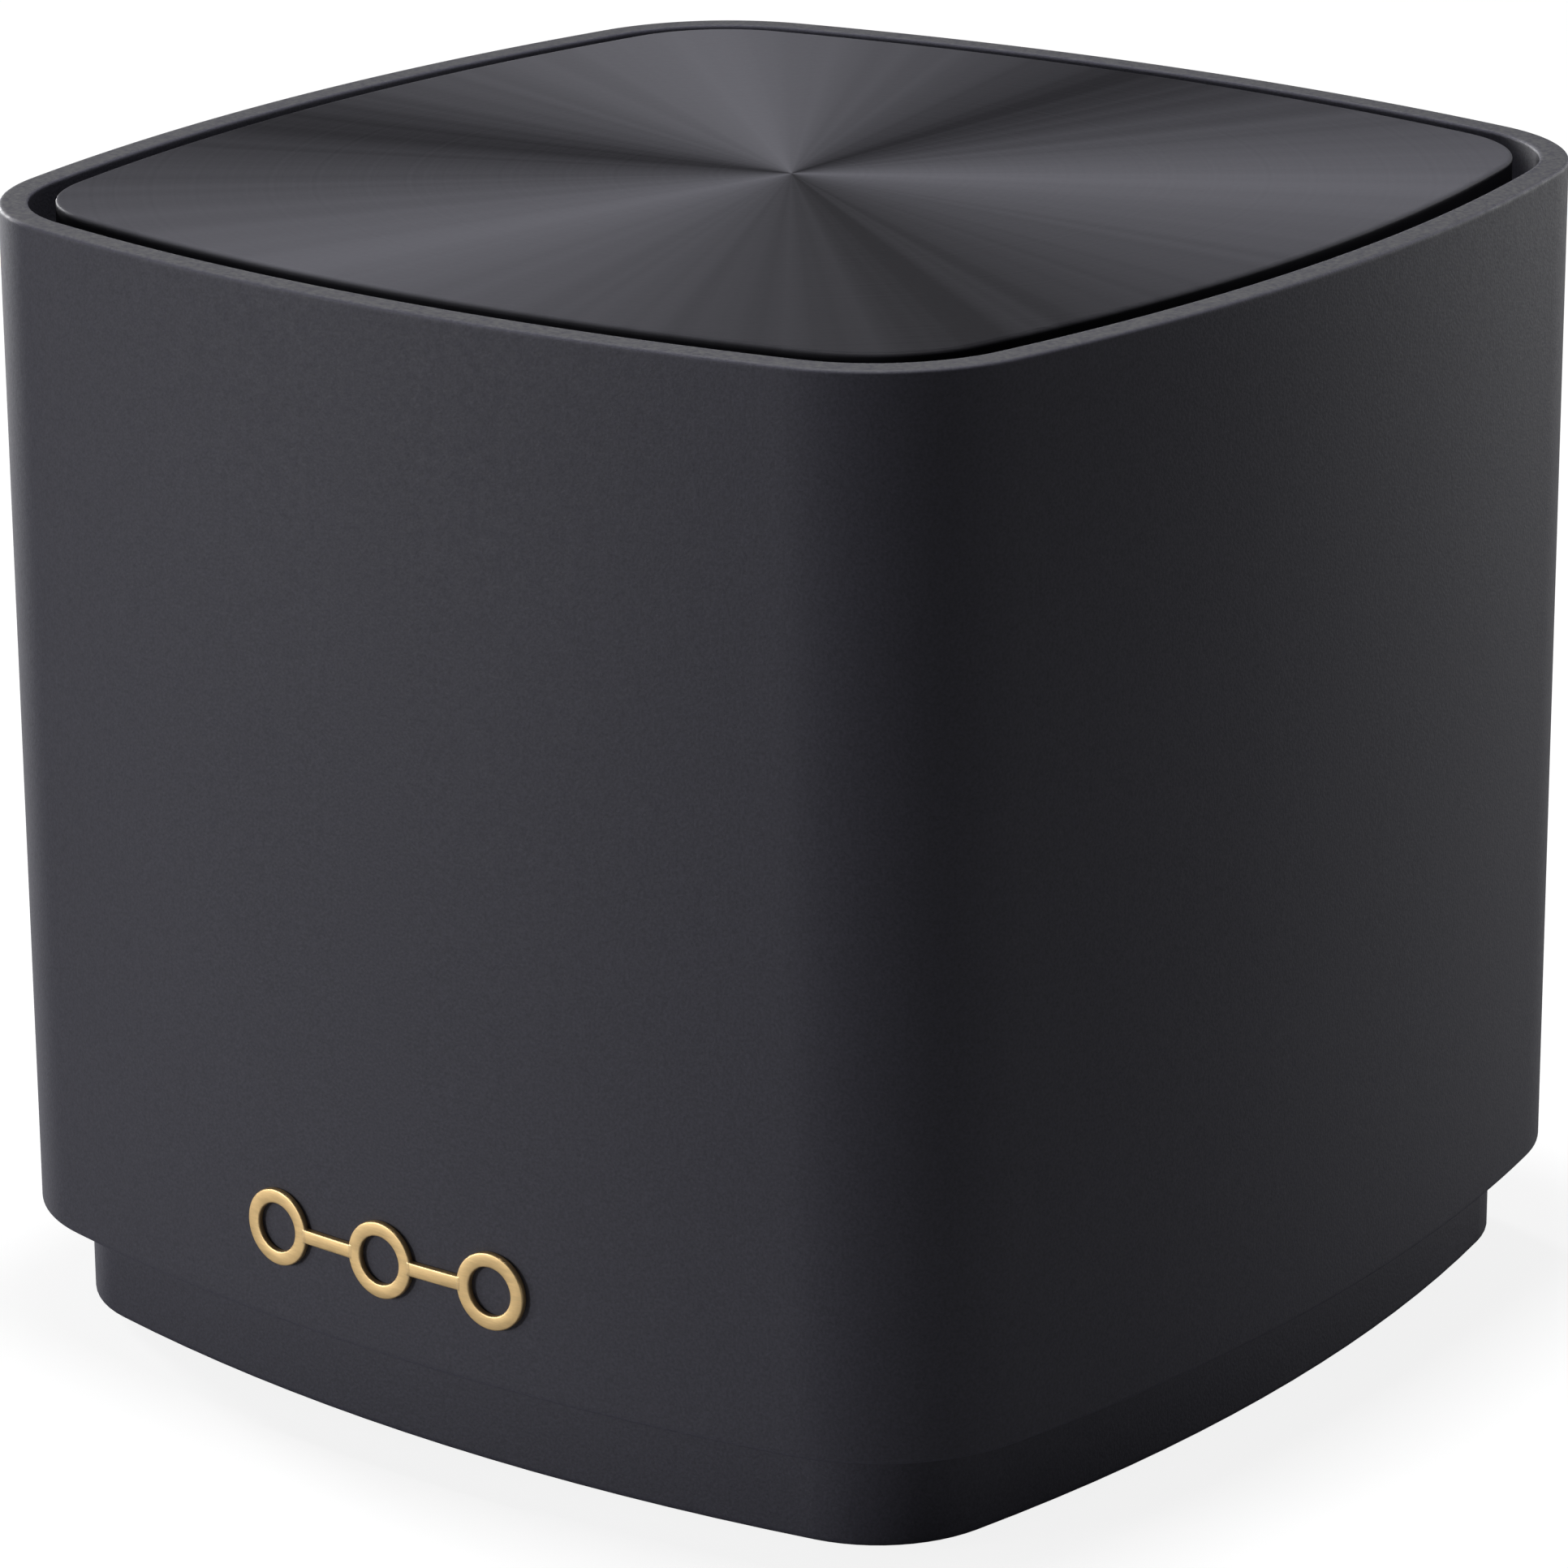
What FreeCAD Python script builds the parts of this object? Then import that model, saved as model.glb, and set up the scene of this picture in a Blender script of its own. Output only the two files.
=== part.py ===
# Mesh wifi node: a square tower with bulged sides, a floating lid over a ring-shaped air outlet,
# and a recessed base that stands on a rubber ring.
#
# Frame: millimetres, +Z up, origin at the centre of the ring that the node stands on.
# The front, with the badge, faces -Y; the sockets face +Y.
import FreeCAD, Part
import math
import os
from types import SimpleNamespace

import Sketcher

SHEET = "Sizes"
SIZES = {
    # outline of the tower, seen from above
    "sleeve_half": (45.0, "half the width, from the middle of one side to the axis"),
    "side_radius": (155.0, "radius of each bulged side"),
    "corner_radius": (13.4, "radius of each corner"),
    # heights
    "sleeve_bottom": (8.0, "lower edge of the sleeve"),
    "sleeve_top": (80.0, "rim of the sleeve"),
    "foot_proud": (0.6, "how far the rubber ring stands out of the base"),
    # sleeve
    "sleeve_wall": (2.0, "wall of the sleeve"),
    "rim_bevel": (0.2, "bevel of the sleeve's edges"),
    "ledge_depth": (6.0, "from the rim down to the ledge"),
    "ledge_width": (2.4, "how far the ledge stands in from the wall"),
    "ledge_thick": (1.6, "thickness of the ledge"),
    "seat_half": (16.0, "half the length of the pads that sit on the base"),
    "seat_thick": (1.2, "thickness of the pads that sit on the base"),
    "seat_bite": (0.2, "how far the pads run into the wall"),
    # lid and the frame under it
    "moat_gap": (1.85, "open ring between rim and lid"),
    "lid_proud": (0.1, "lid above the rim"),
    "lid_thick": (1.8, "top plate of the lid"),
    "lid_skirt": (3.5, "height of the lid's edge"),
    "lid_wall": (1.2, "wall of the lid's edge"),
    "lid_post_place": (20.0, "lid posts from the axis, both ways"),
    "lid_post_radius": (2.5, "radius of the lid posts"),
    "carrier_thick": (1.6, "thickness of the lid carrier"),
    "carrier_opening_half": (15.0, "half the middle opening of the lid carrier"),
    "slot_pitch": (4.0, "pitch of the air slots"),
    "slot_width": (1.8, "width of the air slots"),
    "slot_length": (8.0, "length of the carrier's air slots"),
    # clearances
    "fit_gap": (0.1, "gap between pieces that are pushed together"),
    "loose_gap": (0.3, "gap between pieces that stay clear of each other"),
    "move_gap": (0.25, "gap round a piece that moves"),
    "screw_gap": (0.05, "gap round a screw in its thread"),
    # base
    "base_inset": (3.5, "base inside the outline of the sleeve"),
    "base_wall": (1.6, "wall of the base"),
    "base_floor": (2.0, "floor of the base"),
    "base_round": (0.5, "rounding of the base's lower edge"),
    "flange_lift": (0.6, "underside of the flange above the sleeve's edge"),
    "flange_thick": (1.5, "thickness of the flange"),
    "foot_inset": (3.0, "rubber ring inside the outline of the base"),
    "foot_width": (3.0, "width of the rubber ring"),
    "foot_depth": (1.0, "depth of the groove that holds the ring"),
    "vent_length": (18.0, "length of the base's air slots"),
    "vent_place": (-13.0, "middle of the base's air slots"),
    "label_half": (22.0, "half the label's length"),
    "label_width": (20.0, "width of the label"),
    "label_place": (4.0, "near edge of the label"),
    "label_thick": (0.15, "thickness of the label"),
    # inner frame
    "post_flank": (19.7, "near flank of the corner posts inside the middle of the sides"),
    "post_radius": (3.2, "radius of the corner posts"),
    "boss_radius": (3.6, "radius of the base's corner bosses"),
    "frame_inset": (5.3, "top plate of the inner frame inside the outline"),
    "frame_thick": (1.6, "plates of the inner frame"),
    "frame_opening_half": (24.0, "half the opening in the inner frame's top plate"),
    "side_plate_margin": (12.0, "side plates inside the middle of the sides"),
    "side_plate_thick": (1.4, "thickness of the side plates"),
    "side_plate_half": (30.0, "half the length of the side plates"),
    "side_plate_low": (38.0, "lower edge of the side plates"),
    "web_thick": (3.0, "webs and bars between the posts"),
    "bar_low": (50.0, "underside of the bars between the posts"),
    # main board
    "board_margin": (11.0, "board inside the middle of the sides"),
    "board_front_margin": (12.0, "board inside the middle of the front"),
    "board_rear_gap": (2.0, "board behind the socket panel"),
    "board_clip": (6.0, "clipped corners of the board"),
    "board_thick": (1.6, "thickness of the board"),
    # socket panel
    "window_half": (28.0, "half the width of the window for the sockets"),
    "window_low": (10.9, "lower edge of the window"),
    "window_high": (28.1, "upper edge of the window"),
    "window_round": (2.0, "corner radius of the window"),
    "panel_recess": (3.4, "panel behind the inner face of the rear wall"),
    "panel_thick": (1.6, "thickness of the panel"),
    "panel_lap": (2.5, "how far the panel reaches past the window's sides"),
    "panel_lap_high": (0.8, "how far the panel reaches past the window's top"),
    "collar_inset": (0.8, "edge of the collar inside the outline of the sleeve"),
    "collar_wall": (0.9, "wall of the collar in the window"),
    "collar_gap": (0.15, "gap round the collar in the window"),
    "cutout_gap": (0.2, "gap round a socket in the panel"),
    # network sockets
    "jack_width": (16.0, "width of a network socket"),
    "jack_height": (13.5, "height of a network socket"),
    "jack_depth": (21.0, "depth of a network socket"),
    "jack_sheet": (0.3, "metal sheet round a network socket"),
    "jack_mouth_half": (5.95, "half the width of the mouth"),
    "jack_mouth_low": (4.6, "lower edge of the mouth above the board"),
    "jack_mouth_high": (11.6, "upper edge of the mouth above the board"),
    "jack_latch_half": (3.2, "half the width of the latch channel"),
    "jack_latch_low": (2.2, "lower edge of the latch channel above the board"),
    "jack_mouth_depth": (13.5, "depth of the mouth"),
    "contact_pitch": (1.02, "pitch of the contacts"),
    "contact_thick": (0.4, "width and thickness of a contact"),
    "contact_drop": (1.2, "how far a contact leans down into the mouth"),
    "contact_length": (7.0, "length of a contact"),
    "wan_place": (4.0, "middle of the WAN socket"),
    "lan_place": (-16.5, "middle of the LAN socket"),
    # power socket
    "dc_place": (20.5, "middle of the power socket"),
    "dc_width": (9.0, "width of the power socket"),
    "dc_height": (11.0, "height of the power socket"),
    "dc_depth": (14.0, "depth of the power socket"),
    "dc_axis": (6.5, "axis of the power socket above the board"),
    "dc_bore": (3.15, "radius of the power socket's bore"),
    "dc_bore_depth": (10.0, "depth of the power socket's bore"),
    "dc_pin": (1.05, "radius of the centre pin"),
    "dc_pin_short": (1.0, "centre pin behind the mouth"),
    "dc_root": (2.0, "length of the centre pin's root, held in the housing"),
    "dc_root_radius": (1.5, "radius of the centre pin's root"),
    "dc_leaf_half": (1.0, "half the width of the side contact"),
    "dc_leaf_low": (2.55, "side contact above the axis"),
    "dc_leaf_thick": (0.35, "thickness of the side contact"),
    "dc_leaf_short": (2.0, "side contact behind the mouth"),
    # heatsink
    "sink_half": (24.0, "half the width of the heatsink"),
    "sink_front": (-30.0, "front edge of the heatsink"),
    "sink_rear": (14.0, "rear edge of the heatsink"),
    "sink_lift": (4.3, "heatsink above the board"),
    "sink_plate": (3.0, "base plate of the heatsink"),
    "fin_height": (24.7, "height of the fins"),
    "fin_thick": (1.2, "thickness of a fin"),
    "fin_pitch": (3.9, "pitch of the fins"),
    "leg_radius": (2.5, "radius of the heatsink's legs"),
    "leg_side": (21.5, "front legs from the middle"),
    "leg_front": (-27.5, "front legs along the board"),
    "leg_rear": (10.5, "rear leg along the board"),
    "leg_cover": (1.0, "metal over the legs' pilot holes"),
    # chips and their cans
    "can_height": (2.8, "height of the metal cans"),
    "can_sheet": (0.3, "sheet of the metal cans"),
    "chip_height": (1.4, "height of the chips under the cans"),
    # antennas
    "antenna_place": (14.0, "middle of an antenna from the middle of the side"),
    "antenna_half": (11.0, "half the width of an antenna"),
    "antenna_low": (34.0, "lower edge of the antennas"),
    "antenna_high": (66.0, "upper edge of the antennas"),
    "antenna_thick": (0.8, "thickness of an antenna board"),
    "feed_height": (36.0, "where the cable meets the antenna"),
    "peg_radius": (0.8, "radius of the pegs that hold the antennas"),
    "peg_low": (42.0, "height of the lower pegs"),
    "peg_high": (62.0, "height of the upper pegs"),
    "coax_radius": (0.55, "radius of an antenna cable"),
    "coax_bend": (2.4, "bend radius of an antenna cable"),
    "coax_margin": (13.15, "upright run of a cable inside the middle of the side"),
    "plug_margin": (17.0, "cable plugs inside the middle of the side"),
    "plug_half": (1.3, "half the width of a cable plug"),
    "plug_height": (1.6, "height of a cable plug"),
    # buttons in the base
    "button_place": (25.0, "buttons from the middle"),
    "button_row": (-15.0, "buttons along the base"),
    "cap_radius": (3.75, "radius of the pairing button"),
    "cap_recess": (0.4, "pairing button inside the underside"),
    "cap_flange": (5.2, "radius of the pairing button's flange"),
    "cap_flange_thick": (0.8, "thickness of the pairing button's flange"),
    "cap_stem": (2.0, "radius of the pairing button's stem"),
    "pinhole_radius": (1.0, "radius of the reset hole"),
    "guide_wall": (1.4, "wall of the guide over the reset hole"),
    "guide_height": (2.6, "height of the guide over the reset hole"),
    "switch_height": (3.5, "height of the switches"),
    "switch_bore": (2.4, "depth of the switches' bores"),
    "plunger_out": (1.0, "how far a plunger stands out of its switch"),
    "plunger_in": (1.6, "how far a plunger sits in its switch"),
    "pair_switch_half": (3.0, "half the width of the pairing switch"),
    "pair_plunger": (1.7, "radius of the pairing switch's plunger"),
    "reset_switch_half": (2.3, "half the width of the reset switch"),
    "reset_plunger": (1.1, "radius of the reset switch's plunger"),
    # status light
    "pipe_half": (5.0, "half the width of the light pipe"),
    "pipe_thick": (1.4, "thickness of the light pipe"),
    "pipe_tongue": (0.7, "thickness of the light pipe under the light"),
    "pipe_setback": (0.45, "front of the light pipe behind the inner face of the front wall"),
    "pipe_length": (13.0, "length of the light pipe"),
    "pipe_tongue_length": (4.3, "length of the thin end of the light pipe"),
    "led_height": (0.9, "height of the status light"),
    # badge
    "badge_height": (15.0, "middle of the badge"),
    "badge_pitch": (9.3, "pitch of the badge's rings"),
    "badge_ring": (2.7, "outer radius of a ring"),
    "badge_bar": (1.0, "width of the badge's lines"),
    "badge_proud": (0.45, "badge out of the front"),
    "badge_glue": (0.02, "glue behind the badge"),
    # screws
    "long_screw": (1.25, "shank radius of the base screws"),
    "short_screw": (1.0, "shank radius of the small screws"),
    "long_screw_head": (2.3, "head radius of the base screws"),
    "short_screw_head": (1.9, "head radius of the small screws"),
    "long_head_thick": (1.6, "head height of the base screws"),
    "short_head_thick": (1.3, "head height of the small screws"),
    "sink_depth": (3.4, "depth of the hole over a base screw's head"),
    "long_bite": (8.5, "base screws in the corner posts"),
    "short_bite": (7.5, "carrier screws in the corner posts"),
    "tip_gap": (0.5, "pilot holes past the tips of the screws"),
    "hole_gap": (0.2, "gap round a screw in a plain hole"),
}
PAST = 1.0  # how far a cut or a blank runs past the shape that it meets
OUTER_SHARE = 0.6  # edges beyond this share of the half width belong to the outline
CHIP_SIDE_GAP = 0.5
PAD_MARGIN = 2.0
LED_SETBACK = 1.0
CONTACTS = 8
FINS = 13
CARRIER_SLOTS = 11
BASE_SLOTS = 9


class Length:
    """A number of millimetres, with the sheet expression that gives it."""

    def __init__(self, text, value):
        self.text = text
        self.value = value

    def __add__(self, other):
        other = length(other)
        return Length(f"({self.text} + {other.text})", self.value + other.value)

    def __sub__(self, other):
        other = length(other)
        return Length(f"({self.text} - {other.text})", self.value - other.value)

    def __mul__(self, factor):
        return Length(f"({self.text} * {factor!r})", self.value * factor)

    def __truediv__(self, divisor):
        return self * (1.0 / divisor)

    def __neg__(self):
        return Length(f"(0 - {self.text})", -self.value)

    __rmul__ = __mul__
    __radd__ = __add__

    def __rsub__(self, other):
        return length(other) - self


def length(number):
    """A plain number as a Length; a Length stays as it is."""
    return number if isinstance(number, Length) else Length(f"{number:.6g}", float(number))


def fill_sheet(doc):
    """Write every size into the sheet, and return them all as Lengths."""
    sheet = doc.addObject("Spreadsheet::Sheet", SHEET)
    for row, (alias, (value, note)) in enumerate(SIZES.items(), start=1):
        sheet.set(f"A{row}", alias)
        sheet.set(f"B{row}", str(value))
        sheet.set(f"C{row}", note)
        sheet.setAlias(f"B{row}", alias)
    doc.recompute()
    return SimpleNamespace(
        **{alias: Length(f"{SHEET}.{alias}", value) for alias, (value, _) in SIZES.items()}
    )


# ---------------------------------------------------------------- sketches


def pin_point(sketch, geometry, point, x=None, y=None):
    """Fix a sketch point at x and y, each bound to the sheet."""
    for kind, axis, place in (("DistanceX", -2, x), ("DistanceY", -1, y)):
        if place is None:
            continue
        place = length(place)
        if abs(place.value) < 1e-9:
            sketch.addConstraint(Sketcher.Constraint("PointOnObject", geometry, point, axis))
            continue
        ends = (-1, 1, geometry, point) if place.value > 0 else (geometry, point, -1, 1)
        bound = place if place.value > 0 else -place
        bind_constraint(sketch, (kind, *ends), bound)


def bind_constraint(sketch, head, bound):
    """Add a constraint with a size, bound to the sheet."""
    index = sketch.addConstraint(Sketcher.Constraint(*head, bound.value))
    sketch.setExpression(f"Constraints[{index}]", bound.text)


def vector(x, y):
    return FreeCAD.Vector(x, y, 0)


def outline(*points):
    """A closed shape of straight lines through the points."""

    def draw(sketch):
        places = [(length(x), length(y)) for x, y in points]
        corners = [vector(x.value, y.value) for x, y in places]
        lines = [
            sketch.addGeometry(Part.LineSegment(corner, corners[(i + 1) % len(corners)]), False)
            for i, corner in enumerate(corners)
        ]
        for i, line in enumerate(lines):
            after = lines[(i + 1) % len(lines)]
            sketch.addConstraint(Sketcher.Constraint("Coincident", line, 2, after, 1))
            pin_point(sketch, line, 1, *places[i])

    return draw


def rectangle(x0, x1, y0, y1):
    return outline((x0, y0), (x1, y0), (x1, y1), (x0, y1))


def square(x, y, half):
    """A square of the given half width about a point."""
    return rectangle(x - half, x + half, y - half, y + half)


def disc(x, y, radius):
    """A circle about a point."""

    def draw(sketch):
        at_x, at_y, size = length(x), length(y), length(radius)
        circle = Part.Circle(vector(at_x.value, at_y.value), FreeCAD.Vector(0, 0, 1), size.value)
        index = sketch.addGeometry(circle, False)
        pin_point(sketch, index, 3, at_x, at_y)
        bind_constraint(sketch, ("Radius", index), size)

    return draw


def arc(centre, radius, start, end):
    circle = Part.Circle(vector(*centre), FreeCAD.Vector(0, 0, 1), radius)
    return Part.ArcOfCircle(circle, start, end)


def turned(x, y, quarter):
    """A point turned by a number of quarter turns."""
    for _ in range(quarter):
        x, y = -y, x
    return x, y


def tower(S, inset):
    """The tower's outline, drawn in by inset: four bulged sides and four corners, all tangent."""

    def draw(sketch):
        drawn_in = length(inset)
        side = S.side_radius - drawn_in
        corner = S.corner_radius - drawn_in
        to_side = S.side_radius - S.sleeve_half
        far = to_side.value
        reach = S.side_radius.value - S.corner_radius.value
        at = (-far + math.sqrt(2 * reach * reach - far * far)) / 2
        half_angle = math.atan2(at, at + far)
        arcs = []
        for quarter in range(4):
            base = quarter * math.pi / 2
            low, high = base - half_angle, base + half_angle
            next_low = base + math.pi / 2 - half_angle
            centre = turned(-far, 0, quarter)
            arcs.append(sketch.addGeometry(arc(centre, side.value, low, high), False))
            centre = turned(at, at, quarter)
            arcs.append(sketch.addGeometry(arc(centre, corner.value, high, next_low), False))
        for i, piece in enumerate(arcs):
            after = arcs[(i + 1) % len(arcs)]
            sketch.addConstraint(Sketcher.Constraint("Tangent", piece, 2, after, 1))
        for quarter in range(4):
            x, y = turned(-1, 0, quarter)
            pin_point(sketch, arcs[2 * quarter], 3, to_side * x, to_side * y)
            bind_constraint(sketch, ("Radius", arcs[2 * quarter]), side)
            bind_constraint(sketch, ("Radius", arcs[2 * quarter + 1]), corner)

    return draw


def rounded(x0, x1, y0, y1, radius):
    """A rectangle with round corners."""

    def draw(sketch):
        left, right, low, high, turn = (length(n) for n in (x0, x1, y0, y1, radius))
        l, r, b, t, c = (n.value for n in (left, right, low, high, turn))
        runs = [
            ((l + c, b), (r - c, b), (r - c, b + c), -math.pi / 2),
            ((r, b + c), (r, t - c), (r - c, t - c), 0.0),
            ((r - c, t), (l + c, t), (l + c, t - c), math.pi / 2),
            ((l, t - c), (l, b + c), (l + c, b + c), math.pi),
        ]
        pieces = []
        for start, end, centre, angle in runs:
            line = Part.LineSegment(vector(*start), vector(*end))
            pieces.append(sketch.addGeometry(line, False))
            pieces.append(sketch.addGeometry(arc(centre, c, angle, angle + math.pi / 2), False))
        for i, piece in enumerate(pieces):
            after = pieces[(i + 1) % len(pieces)]
            sketch.addConstraint(Sketcher.Constraint("Tangent", piece, 2, after, 1))
        for i in (1, 3, 5, 7):
            bind_constraint(sketch, ("Radius", pieces[i]), turn)
        for i, direction in enumerate(("Horizontal", "Vertical", "Horizontal", "Vertical")):
            sketch.addConstraint(Sketcher.Constraint(direction, pieces[2 * i]))
        pin_point(sketch, pieces[0], 1, y=low)
        pin_point(sketch, pieces[2], 1, x=right)
        pin_point(sketch, pieces[4], 1, y=high)
        pin_point(sketch, pieces[6], 1, x=left)

    return draw


def segment(S, inset, half, far, side):
    """The region between one bulged side, drawn in by inset, and a straight line at far.

    side is 1 for the rear and -1 for the front.
    """

    def draw(sketch):
        bulge = S.side_radius - length(inset)
        centre = (S.sleeve_half - S.side_radius) * side
        x, line = length(half), length(far)
        edge = centre.value + side * math.sqrt(bulge.value**2 - x.value**2)
        spread = math.asin(x.value / bulge.value)
        middle = side * math.pi / 2
        curve = arc((0, centre.value), bulge.value, middle - spread, middle + spread)
        first = sketch.addGeometry(curve, False)
        start, end = (side * x.value, edge), (-side * x.value, edge)
        corners = [end, (end[0], line.value), (start[0], line.value), start]
        chain = [first]
        for a, b in zip(corners, corners[1:]):
            chain.append(sketch.addGeometry(Part.LineSegment(vector(*a), vector(*b)), False))
        for i, piece in enumerate(chain):
            after = chain[(i + 1) % len(chain)]
            sketch.addConstraint(Sketcher.Constraint("Coincident", piece, 2, after, 1))
        bind_constraint(sketch, ("Radius", first), bulge)
        pin_point(sketch, first, 3, 0, centre)
        pin_point(sketch, chain[1], 1, x=x * -side)
        pin_point(sketch, chain[1], 2, x=x * -side, y=line)
        pin_point(sketch, chain[2], 2, x=x * side, y=line)
        pin_point(sketch, chain[3], 2, x=x * side)

    return draw


# ---------------------------------------------------------------- features

PLANES = {"XY": "XY_Plane", "XZ": "XZ_Plane", "YZ": "YZ_Plane"}


class SubPart:
    """One piece of the node: a body, built up from sketches on its own origin planes."""

    def __init__(self, doc, label):
        self.doc = doc
        self.body = doc.addObject("PartDesign::Body", label)
        self.body.Label = label
        self.body.AllowCompound = True
        self.label = label
        self.count = 0

    def name(self, kind):
        self.count += 1
        return f"{self.label}_{kind}_{self.count}"

    def origin(self, role):
        return next(f for f in self.body.Origin.OriginFeatures if f.Role == role)

    def sketch(self, plane, place, shapes):
        """A sketch at a place along the plane's own world axis."""
        sketch = self.body.newObject("Sketcher::SketchObject", self.name("sketch"))
        sketch.AttachmentSupport = [(self.origin(PLANES[plane]), "")]
        sketch.MapMode = "FlatFace"
        along = -length(place) if plane == "XZ" else length(place)
        sketch.setExpression("AttachmentOffset.Base.z", along.text)
        for draw in shapes:
            draw(sketch)
        return sketch

    def add(self, low, high, *shapes, plane="XY"):
        """Solid from low to high along the plane's world axis."""
        low, high = length(low), length(high)
        start = high if plane == "XZ" else low
        sketch = self.sketch(plane, start, shapes)
        pad = self.body.newObject("PartDesign::Pad", self.name("pad"))
        pad.Profile = sketch
        pad.Reversed = False
        pad.setExpression("Length", (high - low).text)
        return self.settled(pad)

    def cut(self, low, high, *shapes, plane="XY"):
        """Take the shapes away from low to high along the plane's world axis."""
        low, high = length(low), length(high)
        start = low if plane == "XZ" else high
        before = self.body.Shape.Volume
        sketch = self.sketch(plane, start, shapes)
        pocket = self.body.newObject("PartDesign::Pocket", self.name("pocket"))
        pocket.Profile = sketch
        pocket.Reversed = False
        pocket.setExpression("Length", (high - low).text)
        self.settled(pocket)
        if self.body.Shape.Volume > before - 1e-6:
            raise RuntimeError(f"{pocket.Name} cuts nothing")
        return pocket

    def settled(self, feature):
        """Recompute, and hide nothing: a failed feature is an error."""
        self.body.Tip = feature
        self.doc.recompute()
        if "Invalid" in feature.State or "Error" in feature.State:
            raise RuntimeError(f"{feature.Name}: {feature.State}")
        return feature

    def polar(self, feature, times):
        """Repeat a feature about the upright axis."""
        pattern = self.body.newObject("PartDesign::PolarPattern", self.name("polar"))
        pattern.Originals = [feature]
        pattern.Axis = (self.origin("Z_Axis"), [""])
        pattern.Angle = 360
        pattern.Occurrences = times
        return self.settled(pattern)

    def along_x(self, feature, span, times):
        """Repeat a feature towards +X over a span."""
        pattern = self.body.newObject("PartDesign::LinearPattern", self.name("row"))
        pattern.Originals = [feature]
        pattern.Direction = (self.origin("X_Axis"), [""])
        pattern.Occurrences = times
        pattern.setExpression("Length", span.text)
        return self.settled(pattern)

    def edges(self, wanted):
        """Names of the edges that the test picks."""
        return [
            f"Edge{i}" for i, edge in enumerate(self.body.Shape.Edges, start=1) if wanted(edge)
        ]

    def bevel(self, wanted, size, kind="Chamfer"):
        """Chamfer or fillet the edges that the test picks."""
        base, names = self.body.Tip, self.edges(wanted)
        feature = self.body.newObject(f"PartDesign::{kind}", self.name(kind.lower()))
        feature.Base = (base, names)
        feature.setExpression("Radius" if kind == "Fillet" else "Size", size.text)
        return self.settled(feature)

    def tube(self, path_plane, path_place, route, profile_place, profile):
        """Sweep a round profile, drawn across X, along a route."""
        path = self.sketch(path_plane, path_place, [route])
        section = self.sketch("YZ", profile_place, [profile])
        self.doc.recompute()
        pipe = self.body.newObject("PartDesign::AdditivePipe", self.name("pipe"))
        pipe.Profile = section
        pipe.Spine = (path, [f"Edge{i + 1}" for i in range(len(path.Geometry))])
        return self.settled(pipe)


def at_height(level, least_reach=0.0):
    """Picks edges that lie flat at a height, at least so far from the axis."""

    def wanted(edge):
        box = edge.BoundBox
        flat = abs(box.ZMin - level.value) < 1e-4 and abs(box.ZMax - level.value) < 1e-4
        middle = edge.valueAt((edge.FirstParameter + edge.LastParameter) / 2)
        return flat and max(abs(middle.x), abs(middle.y)) >= least_reach

    return wanted


# ---------------------------------------------------------------- places


def places(S):
    """Heights and positions that several pieces share, worked out from the sizes."""
    P = SimpleNamespace()
    P.base_low = S.foot_proud
    P.floor_top = P.base_low + S.base_floor
    P.flange_low = S.sleeve_bottom + S.flange_lift
    P.flange_top = P.flange_low + S.flange_thick
    P.board_low = P.flange_top + S.loose_gap
    P.board_top = P.board_low + S.board_thick
    P.ledge_top = S.sleeve_top - S.ledge_depth
    P.ledge_low = P.ledge_top - S.ledge_thick
    P.carrier_top = P.ledge_top + S.carrier_thick
    P.frame_top = P.ledge_low - S.hole_gap
    P.lid_top = S.sleeve_top + S.lid_proud
    P.lid_plate_low = P.lid_top - S.lid_thick
    P.lid_skirt_low = P.lid_top - S.lid_skirt
    P.lid_inset = S.sleeve_wall + S.moat_gap
    P.post = S.sleeve_half - S.post_flank + S.post_radius
    P.posts = [(P.post * x, P.post * y) for x in (1, -1) for y in (1, -1)]
    P.lid_posts = [(S.lid_post_place * x, S.lid_post_place * y) for x in (1, -1) for y in (1, -1)]
    P.board_half = S.sleeve_half - S.board_margin
    P.board_front = -(S.sleeve_half - S.board_front_margin)
    P.panel_front = S.sleeve_half - S.sleeve_wall - S.panel_recess
    P.panel_back = P.panel_front - S.panel_thick
    P.board_rear = P.panel_back - S.board_rear_gap
    P.jack_front = P.panel_front - S.loose_gap
    P.jack_back = P.jack_front - S.jack_depth
    P.jack_top = P.board_top + S.jack_height
    P.dc_level = P.board_top + S.dc_axis
    P.sink_low = P.board_top + S.sink_lift
    P.sink_plate_top = P.sink_low + S.sink_plate
    P.legs = [(S.leg_side, S.leg_front), (-S.leg_side, S.leg_front), (length(0), S.leg_rear)]
    P.can_top = P.board_top + S.can_height
    P.side_plate = S.sleeve_half - S.side_plate_margin
    P.antenna_inner = P.side_plate + S.side_plate_thick
    P.antenna_outer = P.antenna_inner + S.antenna_thick
    P.plug = S.sleeve_half - S.plug_margin
    P.switch_low = P.board_low - S.switch_height
    P.plunger_low = P.switch_low - S.plunger_out
    P.pair_x = S.button_place
    P.reset_x = -S.button_place
    P.pipe_front = -(S.sleeve_half - S.sleeve_wall - S.pipe_setback)
    P.pipe_back = P.pipe_front + S.pipe_length
    P.pipe_step = P.pipe_back - S.pipe_tongue_length
    P.foot_outer = S.base_inset + S.foot_inset
    P.foot_inner = P.foot_outer + S.foot_width
    return P


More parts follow.
